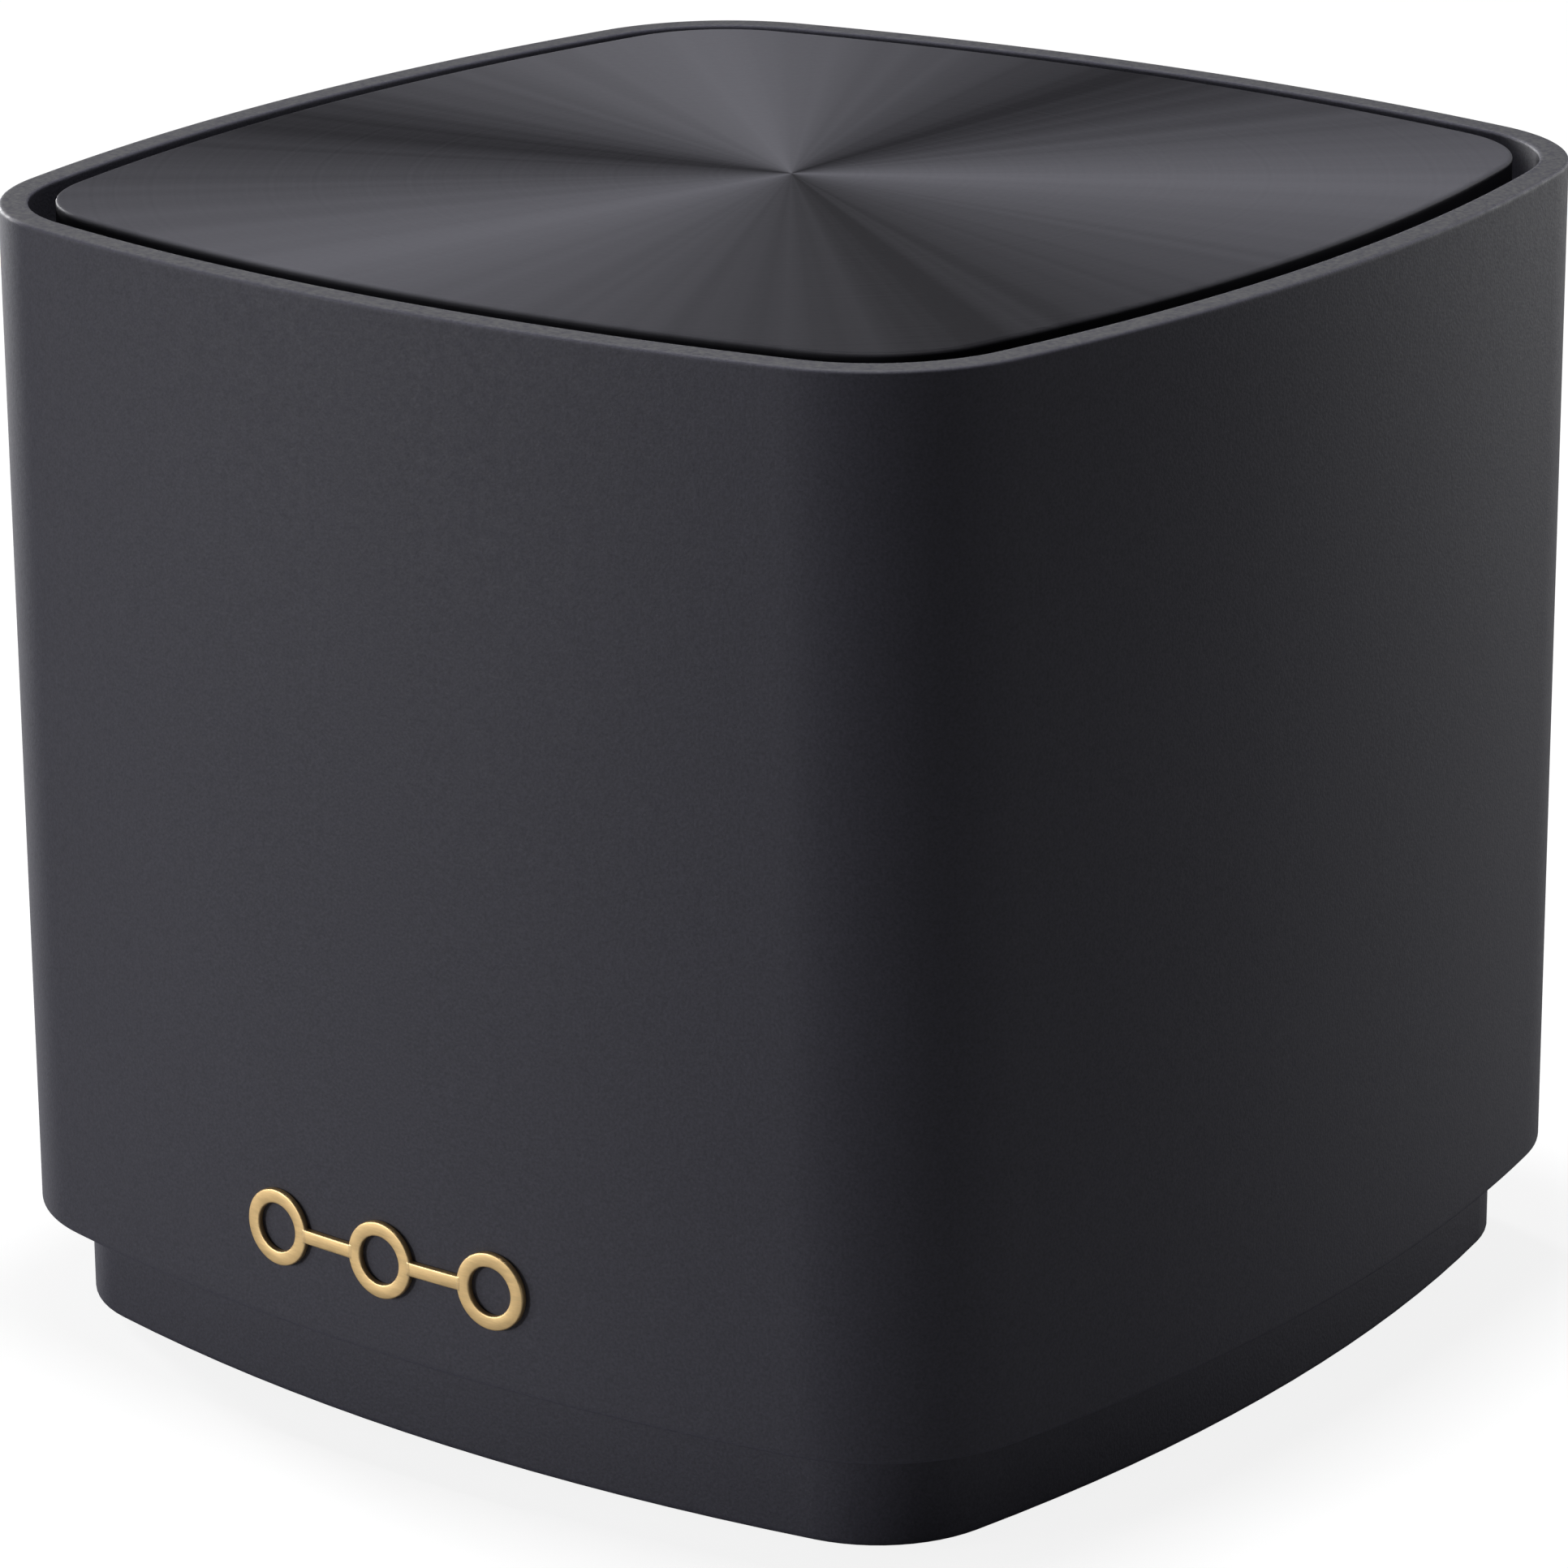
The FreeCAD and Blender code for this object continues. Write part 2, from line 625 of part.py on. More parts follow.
# Footprints on the main board: x0, x1, y0, y1.
SOC_CAN = (-15.0, 15.0, -27.0, -3.0)
RADIO_CANS = ((-22.0, -4.0, -0.5, 13.5), (4.0, 22.0, -0.5, 13.5))
SOC_CHIP = (-13.0, 4.0, -23.5, -6.5)
MEMORY_CHIPS = ((6.0, 13.0, -24.0, -15.5), (6.0, 13.0, -14.0, -5.5))
RADIO_CHIPS = ((-18.0, -8.0, 1.5, 11.5), (8.0, 18.0, 1.5, 11.5))
INDUCTORS = ((27.0, 32.0, -8.0, -3.0), (27.0, 32.0, 1.0, 6.0))
CAPACITORS = ((-29.0, -5.0), (-29.0, 4.0))
INDUCTOR_HEIGHT = 2.8
CAPACITOR_RADIUS = 2.5
CAPACITOR_HEIGHT = 8.0
LED_HALF = 1.6
LED_DEPTH = 1.6


def shrunk(footprint, margin):
    """A footprint drawn in by a margin on every side."""
    x0, x1, y0, y1 = footprint
    return rectangle(x0 + margin, x1 - margin, y0 + margin, y1 - margin)


# ---------------------------------------------------------------- covers


def outer_sleeve(doc, S, P):
    """The square tube that is most of what shows, with a ledge for the lid's frame."""
    piece = SubPart(doc, "outer_sleeve")
    piece.add(S.sleeve_bottom, S.sleeve_top, tower(S, 0))
    piece.cut(S.sleeve_bottom, P.ledge_low, tower(S, S.sleeve_wall))
    piece.cut(P.ledge_low, P.ledge_top, tower(S, S.sleeve_wall + S.ledge_width))
    piece.cut(P.ledge_top, S.sleeve_top, tower(S, S.sleeve_wall))
    outer = S.sleeve_half - S.sleeve_wall + S.seat_bite
    inner = S.sleeve_half - S.sleeve_wall - S.ledge_width
    half = S.seat_half
    piece.add(
        P.flange_top,
        P.flange_top + S.seat_thick,
        rectangle(-half, half, -outer, -inner),
        rectangle(-outer, -inner, -half, half),
        rectangle(inner, outer, -half, half),
    )
    window = rounded(-S.window_half, S.window_half, S.window_low, S.window_high, S.window_round)
    piece.cut(P.panel_back, S.sleeve_half + PAST, window, plane="XZ")
    piece.bevel(at_height(S.sleeve_top), S.rim_bevel)
    outside = S.sleeve_half.value * OUTER_SHARE
    piece.bevel(at_height(S.sleeve_bottom, outside), S.rim_bevel)
    return piece


def top_lid(doc, S, P):
    """The floating lid: a plate with a short edge and four posts that stand on the frame."""
    piece = SubPart(doc, "top_lid")
    piece.add(P.lid_skirt_low, P.lid_top, tower(S, P.lid_inset))
    piece.cut(P.lid_skirt_low, P.lid_plate_low, tower(S, P.lid_inset + S.lid_wall))
    piece.bevel(at_height(P.lid_top), S.rim_bevel)
    discs = [disc(x, y, S.lid_post_radius) for x, y in P.lid_posts]
    piece.add(P.carrier_top, P.lid_plate_low, *discs)
    pilot = S.short_screw + S.screw_gap
    piece.cut(P.carrier_top, P.lid_plate_low - S.fit_gap, *[disc(x, y, pilot) for x, y in P.lid_posts])
    return piece


def lid_carrier(doc, S, P):
    """The frame under the lid, slotted so that warm air leaves through the ring round the lid."""
    piece = SubPart(doc, "lid_carrier")
    piece.add(P.ledge_top, P.carrier_top, tower(S, S.sleeve_wall + S.loose_gap))
    piece.add(P.frame_top, P.ledge_top, *[disc(x, y, S.post_radius) for x, y in P.posts])
    piece.cut(P.frame_top, P.carrier_top, *[disc(x, y, S.short_screw + S.hole_gap) for x, y in P.posts])
    holes = [disc(x, y, S.short_screw + S.hole_gap) for x, y in P.lid_posts]
    opening = square(length(0), length(0), S.carrier_opening_half)
    piece.cut(P.ledge_top, P.carrier_top, opening, *holes)
    far = S.sleeve_half - S.sleeve_wall - S.ledge_width - S.slot_width - S.hole_gap
    middle = (CARRIER_SLOTS - 1) / 2
    slots = [
        rectangle(
            S.slot_pitch * (i - middle) - S.slot_width / 2,
            S.slot_pitch * (i - middle) + S.slot_width / 2,
            -far,
            S.slot_length - far,
        )
        for i in range(CARRIER_SLOTS)
    ]
    piece.polar(piece.cut(P.ledge_top, P.carrier_top, *slots), 4)
    return piece


def base_shell(doc, S, P):
    """The recessed tray that everything stands in, with a flange that closes the sleeve."""
    piece = SubPart(doc, "base_shell")
    piece.add(P.base_low, P.flange_top, tower(S, S.base_inset))
    piece.bevel(at_height(P.base_low), S.base_round, kind="Fillet")
    piece.add(P.flange_low, P.flange_top, tower(S, S.sleeve_wall + S.fit_gap))
    piece.cut(P.floor_top, P.flange_top, tower(S, S.base_inset + S.base_wall))
    ring = tower(S, P.foot_outer), tower(S, P.foot_inner)
    piece.cut(P.base_low, P.base_low + S.foot_depth, *ring)
    piece.add(P.floor_top, P.board_low, *[disc(x, y, S.boss_radius) for x, y in P.posts])
    hole = S.long_screw + S.hole_gap
    piece.cut(P.base_low, P.board_low, *[disc(x, y, hole) for x, y in P.posts])
    head = S.long_screw_head + S.loose_gap
    piece.cut(P.base_low, P.base_low + S.sink_depth, *[disc(x, y, head) for x, y in P.posts])
    middle = (BASE_SLOTS - 1) / 2
    vents = [
        rectangle(
            S.slot_pitch * (i - middle) - S.slot_width / 2,
            S.slot_pitch * (i - middle) + S.slot_width / 2,
            S.vent_place - S.vent_length / 2,
            S.vent_place + S.vent_length / 2,
        )
        for i in range(BASE_SLOTS)
    ]
    piece.cut(P.base_low, P.floor_top, *vents)
    guide = S.pinhole_radius + S.guide_wall
    piece.add(P.floor_top, P.floor_top + S.guide_height, disc(P.reset_x, S.button_row, guide))
    pinhole = disc(P.reset_x, S.button_row, S.pinhole_radius)
    piece.cut(P.base_low, P.floor_top + S.guide_height, pinhole)
    cap_hole = disc(P.pair_x, S.button_row, S.cap_radius + S.move_gap)
    piece.cut(P.base_low, P.floor_top, cap_hole)
    half = S.pipe_half + S.hole_gap
    notch = rectangle(-half, half, -S.sleeve_half, P.pipe_step)
    piece.cut(P.flange_low, P.flange_top, notch)
    return piece


def foot_ring(doc, S, P):
    """The rubber ring that the node stands on."""
    piece = SubPart(doc, "foot_ring")
    ring = tower(S, P.foot_outer + S.fit_gap), tower(S, P.foot_inner - S.fit_gap)
    piece.add(0, P.base_low + S.foot_depth, *ring)
    return piece


def rating_label(doc, S, P):
    """A blank label on the underside."""
    piece = SubPart(doc, "rating_label")
    far = S.label_place + S.label_width
    area = rounded(-S.label_half, S.label_half, S.label_place, far, S.window_round)
    piece.add(P.base_low - S.label_thick, P.base_low, area)
    return piece


def front_badge(doc, S, P):
    """Three linked rings that stand for linked nodes, following the bulge of the front."""
    piece = SubPart(doc, "front_badge")
    front = S.sleeve_half + S.badge_proud
    back = S.sleeve_half - PAST
    centres = [S.badge_pitch * i for i in (-1, 0, 1)]
    inner = S.badge_ring - S.badge_bar
    low, high = S.badge_height - S.badge_bar / 2, S.badge_height + S.badge_bar / 2
    rings = [disc(x, S.badge_height, S.badge_ring) for x in centres]
    piece.add(-front, -back, *rings, plane="XZ")
    links = [
        rectangle(x + inner + S.fit_gap, x + S.badge_pitch - inner - S.fit_gap, low, high)
        for x in centres[:2]
    ]
    piece.add(-front, -back, *links, plane="XZ")
    piece.cut(-front, -back, *[disc(x, S.badge_height, inner) for x in centres], plane="XZ")
    level_low, level_high = S.badge_height - S.badge_ring, S.badge_height + S.badge_ring
    width = S.badge_pitch + S.badge_ring * 2
    outside = segment(S, -S.badge_proud, width, -(front + PAST), -1)
    inside = segment(S, -S.badge_glue, width, -(back - PAST), -1)
    piece.cut(level_low - PAST, level_high + PAST, outside)
    piece.cut(level_low - PAST, level_high + PAST, inside)
    return piece


def io_panel(doc, S, P):
    """The panel behind the rear window, with a collar that lines the window."""
    piece = SubPart(doc, "io_panel")
    half = S.window_half + S.panel_lap
    plate = rectangle(-half, half, P.flange_top, S.window_high + S.panel_lap_high)
    piece.add(P.panel_back, P.panel_front, plate, plane="XZ")
    inner_gap = S.collar_gap + S.collar_wall

    def lining(gap):
        side = S.window_half - gap
        turn = S.window_round - gap
        return rounded(-side, side, S.window_low + gap, S.window_high - gap, turn)

    piece.add(P.panel_front, S.sleeve_half, lining(S.collar_gap), lining(inner_gap), plane="XZ")
    beyond = segment(S, S.collar_inset, S.window_half + PAST, S.sleeve_half + PAST, 1)
    piece.cut(S.window_low, S.window_high, beyond)
    gap = S.cutout_gap
    mouths = []
    for middle, width, top in (
        (S.wan_place, S.jack_width, P.jack_top),
        (S.lan_place, S.jack_width, P.jack_top),
        (S.dc_place, S.dc_width, P.board_top + S.dc_height),
    ):
        low = P.board_top - gap
        mouths.append(rectangle(middle - width / 2 - gap, middle + width / 2 + gap, low, top + gap))
    piece.cut(P.panel_back, P.panel_front, *mouths, plane="XZ")
    return piece


# ---------------------------------------------------------------- frame and board


def inner_chassis(doc, S, P):
    """Four posts on the board's corners, a top plate, bars, and side plates for the antennas."""
    piece = SubPart(doc, "inner_chassis")
    piece.add(P.board_top, P.frame_top, *[disc(x, y, S.post_radius) for x, y in P.posts])
    piece.add(P.frame_top - S.frame_thick, P.frame_top, tower(S, S.frame_inset))
    half = S.side_plate_half
    reach = P.post + S.web_thick / 2
    for side in (1, -1):
        plate = rectangle(P.side_plate * side, P.antenna_inner * side, -half, half)
        piece.add(S.side_plate_low, P.frame_top, plate)
        for end in (1, -1):
            web = rectangle(P.post * side, P.antenna_inner * side, (half - S.web_thick) * end, half * end)
            piece.add(S.side_plate_low, P.frame_top, web)
        bar = rectangle(-P.post, P.post, (reach - S.web_thick) * side, reach * side)
        piece.add(S.bar_low, S.bar_low + S.web_thick, bar)
        pegs = [
            disc(S.antenna_place * end, level, S.peg_radius)
            for end in (1, -1)
            for level in (S.peg_low, S.peg_high)
        ]
        peg_out = P.antenna_outer + S.loose_gap
        ends = (P.antenna_inner, peg_out) if side > 0 else (-peg_out, -P.antenna_inner)
        piece.add(*ends, *pegs, plane="YZ")
    opening = square(length(0), length(0), S.frame_opening_half)
    piece.cut(P.frame_top - S.frame_thick, P.frame_top, opening)
    pilot = S.long_screw + S.screw_gap
    long_tip = P.board_top + S.long_bite + S.tip_gap
    piece.cut(P.board_top, long_tip, *[disc(x, y, pilot) for x, y in P.posts])
    pilot = S.short_screw + S.screw_gap
    short_tip = P.frame_top - S.short_bite - S.tip_gap
    piece.cut(short_tip, P.frame_top, *[disc(x, y, pilot) for x, y in P.posts])
    return piece


def main_board(doc, S, P):
    """The circuit board, clipped at its corners, with holes for the screws."""
    piece = SubPart(doc, "main_board")
    half, clip, rear, front = P.board_half, S.board_clip, P.board_rear, P.board_front
    edge = outline(
        (half - clip, rear),
        (clip - half, rear),
        (-half, rear - clip),
        (-half, front + clip),
        (clip - half, front),
        (half - clip, front),
        (half, front + clip),
        (half, rear - clip),
    )
    piece.add(P.board_low, P.board_top, edge)
    holes = [disc(x, y, S.long_screw + S.hole_gap) for x, y in P.posts]
    holes += [disc(x, y, S.short_screw + S.hole_gap) for x, y in P.legs]
    piece.cut(P.board_low, P.board_top, *holes)
    return piece


def heatsink(doc, S, P):
    """Base plate with upright fins, on three legs that are screwed to the board."""
    piece = SubPart(doc, "heatsink")
    plate = rectangle(-S.sink_half, S.sink_half, S.sink_front, S.sink_rear)
    piece.add(P.sink_low, P.sink_plate_top, plate)
    piece.add(P.board_top, P.sink_low, *[disc(x, y, S.leg_radius) for x, y in P.legs])
    pilot = S.short_screw + S.screw_gap
    piece.cut(P.board_top, P.sink_plate_top - S.leg_cover, *[disc(x, y, pilot) for x, y in P.legs])
    span = S.fin_pitch * (FINS - 1)
    left = -span / 2 - S.fin_thick / 2
    fin = rectangle(left, left + S.fin_thick, S.sink_front, S.sink_rear)
    first = piece.add(P.sink_plate_top, P.sink_plate_top + S.fin_height, fin)
    piece.along_x(first, span, FINS)
    return piece


# ---------------------------------------------------------------- sockets


def network_jack(doc, S, P, name, middle):
    """A shielded network socket: plastic body, metal sheet and eight contacts."""
    wide, sheet, top = S.jack_width / 2, S.jack_sheet, P.jack_top
    body_front = P.jack_front - S.fit_gap
    body_back = P.jack_back + sheet
    inner_wide, inner_top = wide - sheet, top - sheet
    mouth_back = body_front - S.jack_mouth_depth
    mouth_low, mouth_high = P.board_top + S.jack_mouth_low, P.board_top + S.jack_mouth_high

    housing = SubPart(doc, f"{name}_jack_housing")
    block = rectangle(middle - inner_wide, middle + inner_wide, body_back, body_front)
    housing.add(P.board_top, inner_top, block)
    half, latch = S.jack_mouth_half, S.jack_latch_half
    latch_low = P.board_top + S.jack_latch_low
    mouth = outline(
        (middle - latch, latch_low),
        (middle + latch, latch_low),
        (middle + latch, mouth_low),
        (middle + half, mouth_low),
        (middle + half, mouth_high),
        (middle - half, mouth_high),
        (middle - half, mouth_low),
        (middle - latch, mouth_low),
    )
    housing.cut(mouth_back, body_front, mouth, plane="XZ")

    shield = SubPart(doc, f"{name}_jack_shield")
    block = rectangle(middle - wide, middle + wide, P.jack_back, P.jack_front)
    shield.add(P.board_top, top, block)
    hollow = rectangle(middle - inner_wide, middle + inner_wide, body_back, P.jack_front)
    shield.cut(P.board_top, inner_top, hollow)

    contacts = SubPart(doc, f"{name}_jack_contacts")
    thick = S.contact_thick
    start = mouth_back
    leaf = outline(
        (start, mouth_high - thick),
        (start + S.contact_length, mouth_high - S.contact_drop - thick),
        (start + S.contact_length, mouth_high - S.contact_drop),
        (start + thick, mouth_high),
        (start, mouth_high),
    )
    span = S.contact_pitch * (CONTACTS - 1)
    left = middle - span / 2 - thick / 2
    first = contacts.add(left, left + thick, leaf, plane="YZ")
    contacts.along_x(first, span, CONTACTS)
    return [housing, shield, contacts]


def power_jack(doc, S, P):
    """The power socket: housing, centre pin and side contact."""
    front = P.jack_front
    back = front - S.dc_depth
    bore_back = front - S.dc_bore_depth
    root = bore_back - S.dc_root
    housing = SubPart(doc, "dc_jack_housing")
    half = S.dc_width / 2
    block = rectangle(S.dc_place - half, S.dc_place + half, back, front)
    housing.add(P.board_top, P.board_top + S.dc_height, block)
    housing.cut(bore_back, front, disc(S.dc_place, P.dc_level, S.dc_bore), plane="XZ")
    housing.cut(root, bore_back, disc(S.dc_place, P.dc_level, S.dc_root_radius), plane="XZ")

    centre_pin = SubPart(doc, "dc_jack_pin")
    centre_pin.add(root, bore_back, disc(S.dc_place, P.dc_level, S.dc_root_radius), plane="XZ")
    rod = disc(S.dc_place, P.dc_level, S.dc_pin)
    centre_pin.add(bore_back, front - S.dc_pin_short, rod, plane="XZ")

    spring = SubPart(doc, "dc_jack_spring")
    level = P.dc_level + S.dc_leaf_low
    leaf = rectangle(
        S.dc_place - S.dc_leaf_half, S.dc_place + S.dc_leaf_half, level, level + S.dc_leaf_thick
    )
    spring.add(bore_back, front - S.dc_leaf_short, leaf, plane="XZ")
    return [housing, centre_pin, spring]


# ---------------------------------------------------------------- chips and cooling


def blocks(doc, label, low, high, *shapes):
    """Plain blocks of one kind, as one piece each but one file."""
    piece = SubPart(doc, label)
    piece.add(low, high, *shapes)
    return piece


def electronics(doc, S, P):
    """Chips, their cans and heat pads, and the power parts."""
    base, can = P.board_top, P.can_top
    chip = base + S.chip_height
    inner = can - S.can_sheet
    made = [
        blocks(doc, "soc_chip", base, chip, rectangle(*SOC_CHIP)),
        blocks(doc, "memory_chips", base, chip, *[rectangle(*c) for c in MEMORY_CHIPS]),
        blocks(doc, "radio_chips", base, chip, *[rectangle(*c) for c in RADIO_CHIPS]),
    ]
    covered = [shrunk(c, CHIP_SIDE_GAP) for c in (SOC_CHIP, *MEMORY_CHIPS, *RADIO_CHIPS)]
    made.append(blocks(doc, "chip_pads", chip, inner, *covered))
    for label, cans in (("soc_shield", [SOC_CAN]), ("radio_shields", RADIO_CANS)):
        shield = blocks(doc, label, base, can, *[rectangle(*c) for c in cans])
        shield.cut(base, inner, *[shrunk(c, S.can_sheet) for c in cans])
        made.append(shield)
    pads = [shrunk(c, PAD_MARGIN) for c in (SOC_CAN, *RADIO_CANS)]
    made.append(blocks(doc, "thermal_pads", can, P.sink_low, *pads))
    coils = [rectangle(*c) for c in INDUCTORS]
    made.append(blocks(doc, "power_inductors", base, base + INDUCTOR_HEIGHT, *coils))
    cans = [disc(x, y, CAPACITOR_RADIUS) for x, y in CAPACITORS]
    made.append(blocks(doc, "bulk_capacitors", base, base + CAPACITOR_HEIGHT, *cans))
    return made


# ---------------------------------------------------------------- antennas


def coax_route(S, P, side, level):
    """Down from the antenna and in to its plug: straight runs joined by tangent arcs."""

    def draw(sketch):
        bend = S.coax_bend
        outer, upright = P.antenna_inner * side, (S.sleeve_half - S.coax_margin) * side
        inner = (P.plug + S.plug_half) * side
        top, b = S.feed_height, bend.value
        x0, x1, x2 = outer.value, upright.value, inner.value
        high, low = top.value, level.value
        away = x1 + side * b
        inward = x1 - side * b
        first = sketch.addGeometry(Part.LineSegment(vector(x0, high), vector(away, high)), False)
        start = math.pi / 2 if side > 0 else 0.0
        turn = sketch.addGeometry(arc((away, high - b), b, start, start + math.pi / 2), False)
        down = sketch.addGeometry(Part.LineSegment(vector(x1, high - b), vector(x1, low + b)), False)
        start = -math.pi / 2 if side > 0 else math.pi
        foot = sketch.addGeometry(arc((inward, low + b), b, start, start + math.pi / 2), False)
        last = sketch.addGeometry(Part.LineSegment(vector(inward, low), vector(x2, low)), False)
        begin, finish = (1, 2) if side > 0 else (2, 1)
        for joint in (
            (first, 2, turn, begin),
            (turn, finish, down, 1),
            (down, 2, foot, finish),
            (foot, begin, last, 1),
        ):
            sketch.addConstraint(Sketcher.Constraint("Tangent", *joint))
        bind_constraint(sketch, ("Radius", turn), bend)
        bind_constraint(sketch, ("Radius", foot), bend)
        for line, direction in ((first, "Horizontal"), (down, "Vertical"), (last, "Horizontal")):
            sketch.addConstraint(Sketcher.Constraint(direction, line))
        pin_point(sketch, first, 1, outer, top)
        pin_point(sketch, down, 1, x=upright)
        pin_point(sketch, last, 2, inner, level)

    return draw


def antennas(doc, S, P):
    """Four antenna boards on the side plates, with their cables and plugs."""
    made = []
    level = P.board_top + S.plug_height / 2
    for side_name, side in (("right", 1), ("left", -1)):
        for end_name, end in (("front", -1), ("rear", 1)):
            middle = S.antenna_place * end
            board = SubPart(doc, f"antenna_{side_name}_{end_name}")
            ends = (P.antenna_inner, P.antenna_outer)
            ends = ends if side > 0 else (-ends[1], -ends[0])
            area = rectangle(
                middle - S.antenna_half, middle + S.antenna_half, S.antenna_low, S.antenna_high
            )
            board.add(*ends, area, plane="YZ")
            hole = S.peg_radius + S.fit_gap
            holes = [disc(middle, level_, hole) for level_ in (S.peg_low, S.peg_high)]
            board.cut(*ends, *holes, plane="YZ")
            made.append(board)
            cable = SubPart(doc, f"coax_cable_{side_name}_{end_name}")
            section = disc(middle, S.feed_height, S.coax_radius)
            route = coax_route(S, P, side, level)
            cable.tube("XZ", middle, route, P.antenna_inner * side, section)
            made.append(cable)
    spots = [(P.plug * x, S.antenna_place * y) for x in (1, -1) for y in (1, -1)]
    plugs = [square(x, y, S.plug_half) for x, y in spots]
    made.append(blocks(doc, "coax_plugs", P.board_top, P.board_top + S.plug_height, *plugs))
    return made


# ---------------------------------------------------------------- buttons and light


def buttons(doc, S, P):
    """The pairing button with its switch, and the reset switch behind its pinhole."""
    x, y = P.pair_x, S.button_row
    flange_low = P.floor_top + S.loose_gap
    flange_top = flange_low + S.cap_flange_thick
    cap = SubPart(doc, "wps_button")
    cap.add(P.base_low + S.cap_recess, flange_low, disc(x, y, S.cap_radius))
    cap.add(flange_low, flange_top, disc(x, y, S.cap_flange))
    cap.add(flange_top, P.plunger_low, disc(x, y, S.cap_stem))
    made = [cap]
    for name, at, half, radius in (
        ("wps", P.pair_x, S.pair_switch_half, S.pair_plunger),
        ("reset", P.reset_x, S.reset_switch_half, S.reset_plunger),
    ):
        switch = SubPart(doc, f"{name}_switch_body")
        switch.add(P.switch_low, P.board_low, square(at, y, half))
        switch.cut(P.switch_low, P.switch_low + S.switch_bore, disc(at, y, radius + S.move_gap))
        plunger = SubPart(doc, f"{name}_switch_plunger")
        plunger.add(P.plunger_low, P.switch_low + S.plunger_in, disc(at, y, radius))
        made += [switch, plunger]
    return made


def status_light(doc, S, P):
    """The light under the board's front edge, and the pipe that leads it out under the sleeve."""
    pipe = SubPart(doc, "light_pipe")
    low = P.flange_low
    profile = outline(
        (P.pipe_front, low),
        (P.pipe_back, low),
        (P.pipe_back, low + S.pipe_tongue),
        (P.pipe_step, low + S.pipe_tongue),
        (P.pipe_step, low + S.pipe_thick),
        (P.pipe_front, low + S.pipe_thick),
    )
    pipe.add(-S.pipe_half, S.pipe_half, profile, plane="YZ")
    near = P.pipe_step + LED_SETBACK
    lamp = rectangle(-LED_HALF, LED_HALF, near, near + LED_DEPTH)
    return [pipe, blocks(doc, "status_led", P.board_low - S.led_height, P.board_low, lamp)]


# ---------------------------------------------------------------- fasteners


def screws(doc, label, centres, head, shank):
    """Identical screws, upright: head and shank are each (radius, low, high)."""
    piece = SubPart(doc, label)
    for radius, low, high in (head, shank):
        piece.add(low, high, *[disc(x, y, radius) for x, y in centres])
    return piece


def fasteners(doc, S, P):
    """Every set of screws."""
    seat = P.base_low + S.sink_depth
    small, small_head, small_tall = S.short_screw, S.short_screw_head, S.short_head_thick
    return [
        screws(
            doc,
            "base_screws",
            P.posts,
            (S.long_screw_head, seat - S.long_head_thick, seat),
            (S.long_screw, seat, P.board_top + S.long_bite),
        ),
        screws(
            doc,
            "carrier_screws",
            P.posts,
            (small_head, P.carrier_top, P.carrier_top + small_tall),
            (small, P.frame_top - S.short_bite, P.carrier_top),
        ),
        screws(
            doc,
            "lid_screws",
            P.lid_posts,
            (small_head, P.ledge_top - small_tall, P.ledge_top),
            (small, P.ledge_top, P.lid_plate_low - S.tip_gap),
        ),
        screws(
            doc,
            "heatsink_screws",
            P.legs,
            (small_head, P.board_low - small_tall, P.board_low),
            (small, P.board_low, P.sink_plate_top - S.leg_cover - S.tip_gap),
        ),
    ]


# ---------------------------------------------------------------- the whole node


def build(doc):
    """Build every piece, and return them in order."""
    S = fill_sheet(doc)
    P = places(S)
    makers = (
        outer_sleeve,
        top_lid,
        lid_carrier,
        base_shell,
        foot_ring,
        rating_label,
        front_badge,
        io_panel,
        inner_chassis,
        main_board,
        heatsink,
    )
    pieces = [maker(doc, S, P) for maker in makers]
    for name, middle in (("wan", S.wan_place), ("lan", S.lan_place)):
        pieces += network_jack(doc, S, P, name, middle)
    for maker in (power_jack, electronics, antennas, buttons, status_light, fasteners):
        pieces += maker(doc, S, P)
    return pieces


def check(doc, pieces):
    """Stop before anything is written if an object failed or a shape isn't sound."""
    for thing in doc.Objects:
        if "Invalid" in thing.State or "Error" in thing.State:
            raise RuntimeError(f"{thing.Name}: {thing.State}")
    for piece in pieces:
        shape = piece.body.Shape
        if shape.isNull() or not shape.isValid() or shape.Volume <= 0:
            raise RuntimeError(f"{piece.label} has no sound shape")


def main():
    doc = FreeCAD.newDocument("mesh_wifi_node")
    pieces = build(doc)
    doc.recompute()
    check(doc, pieces)
    os.makedirs("parts", exist_ok=True)
    for piece in pieces:
        piece.body.Shape.exportStep(f"parts/{piece.label}.step")
        print(piece.label, len(piece.body.Shape.Solids), round(piece.body.Shape.Volume, 1))


main()
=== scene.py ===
"""Mesh wifi node: the looks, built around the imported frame.

Every length is in metres, +Z is up, and the front with the badge faces -Y.
"""

import logging
import math
from collections.abc import Iterable, Sequence
from dataclasses import dataclass, field
from enum import Enum
from typing import Any

import bmesh
import bpy
from bpy.types import Material, Node, NodeSocket, Object
from mathutils import Matrix, Vector


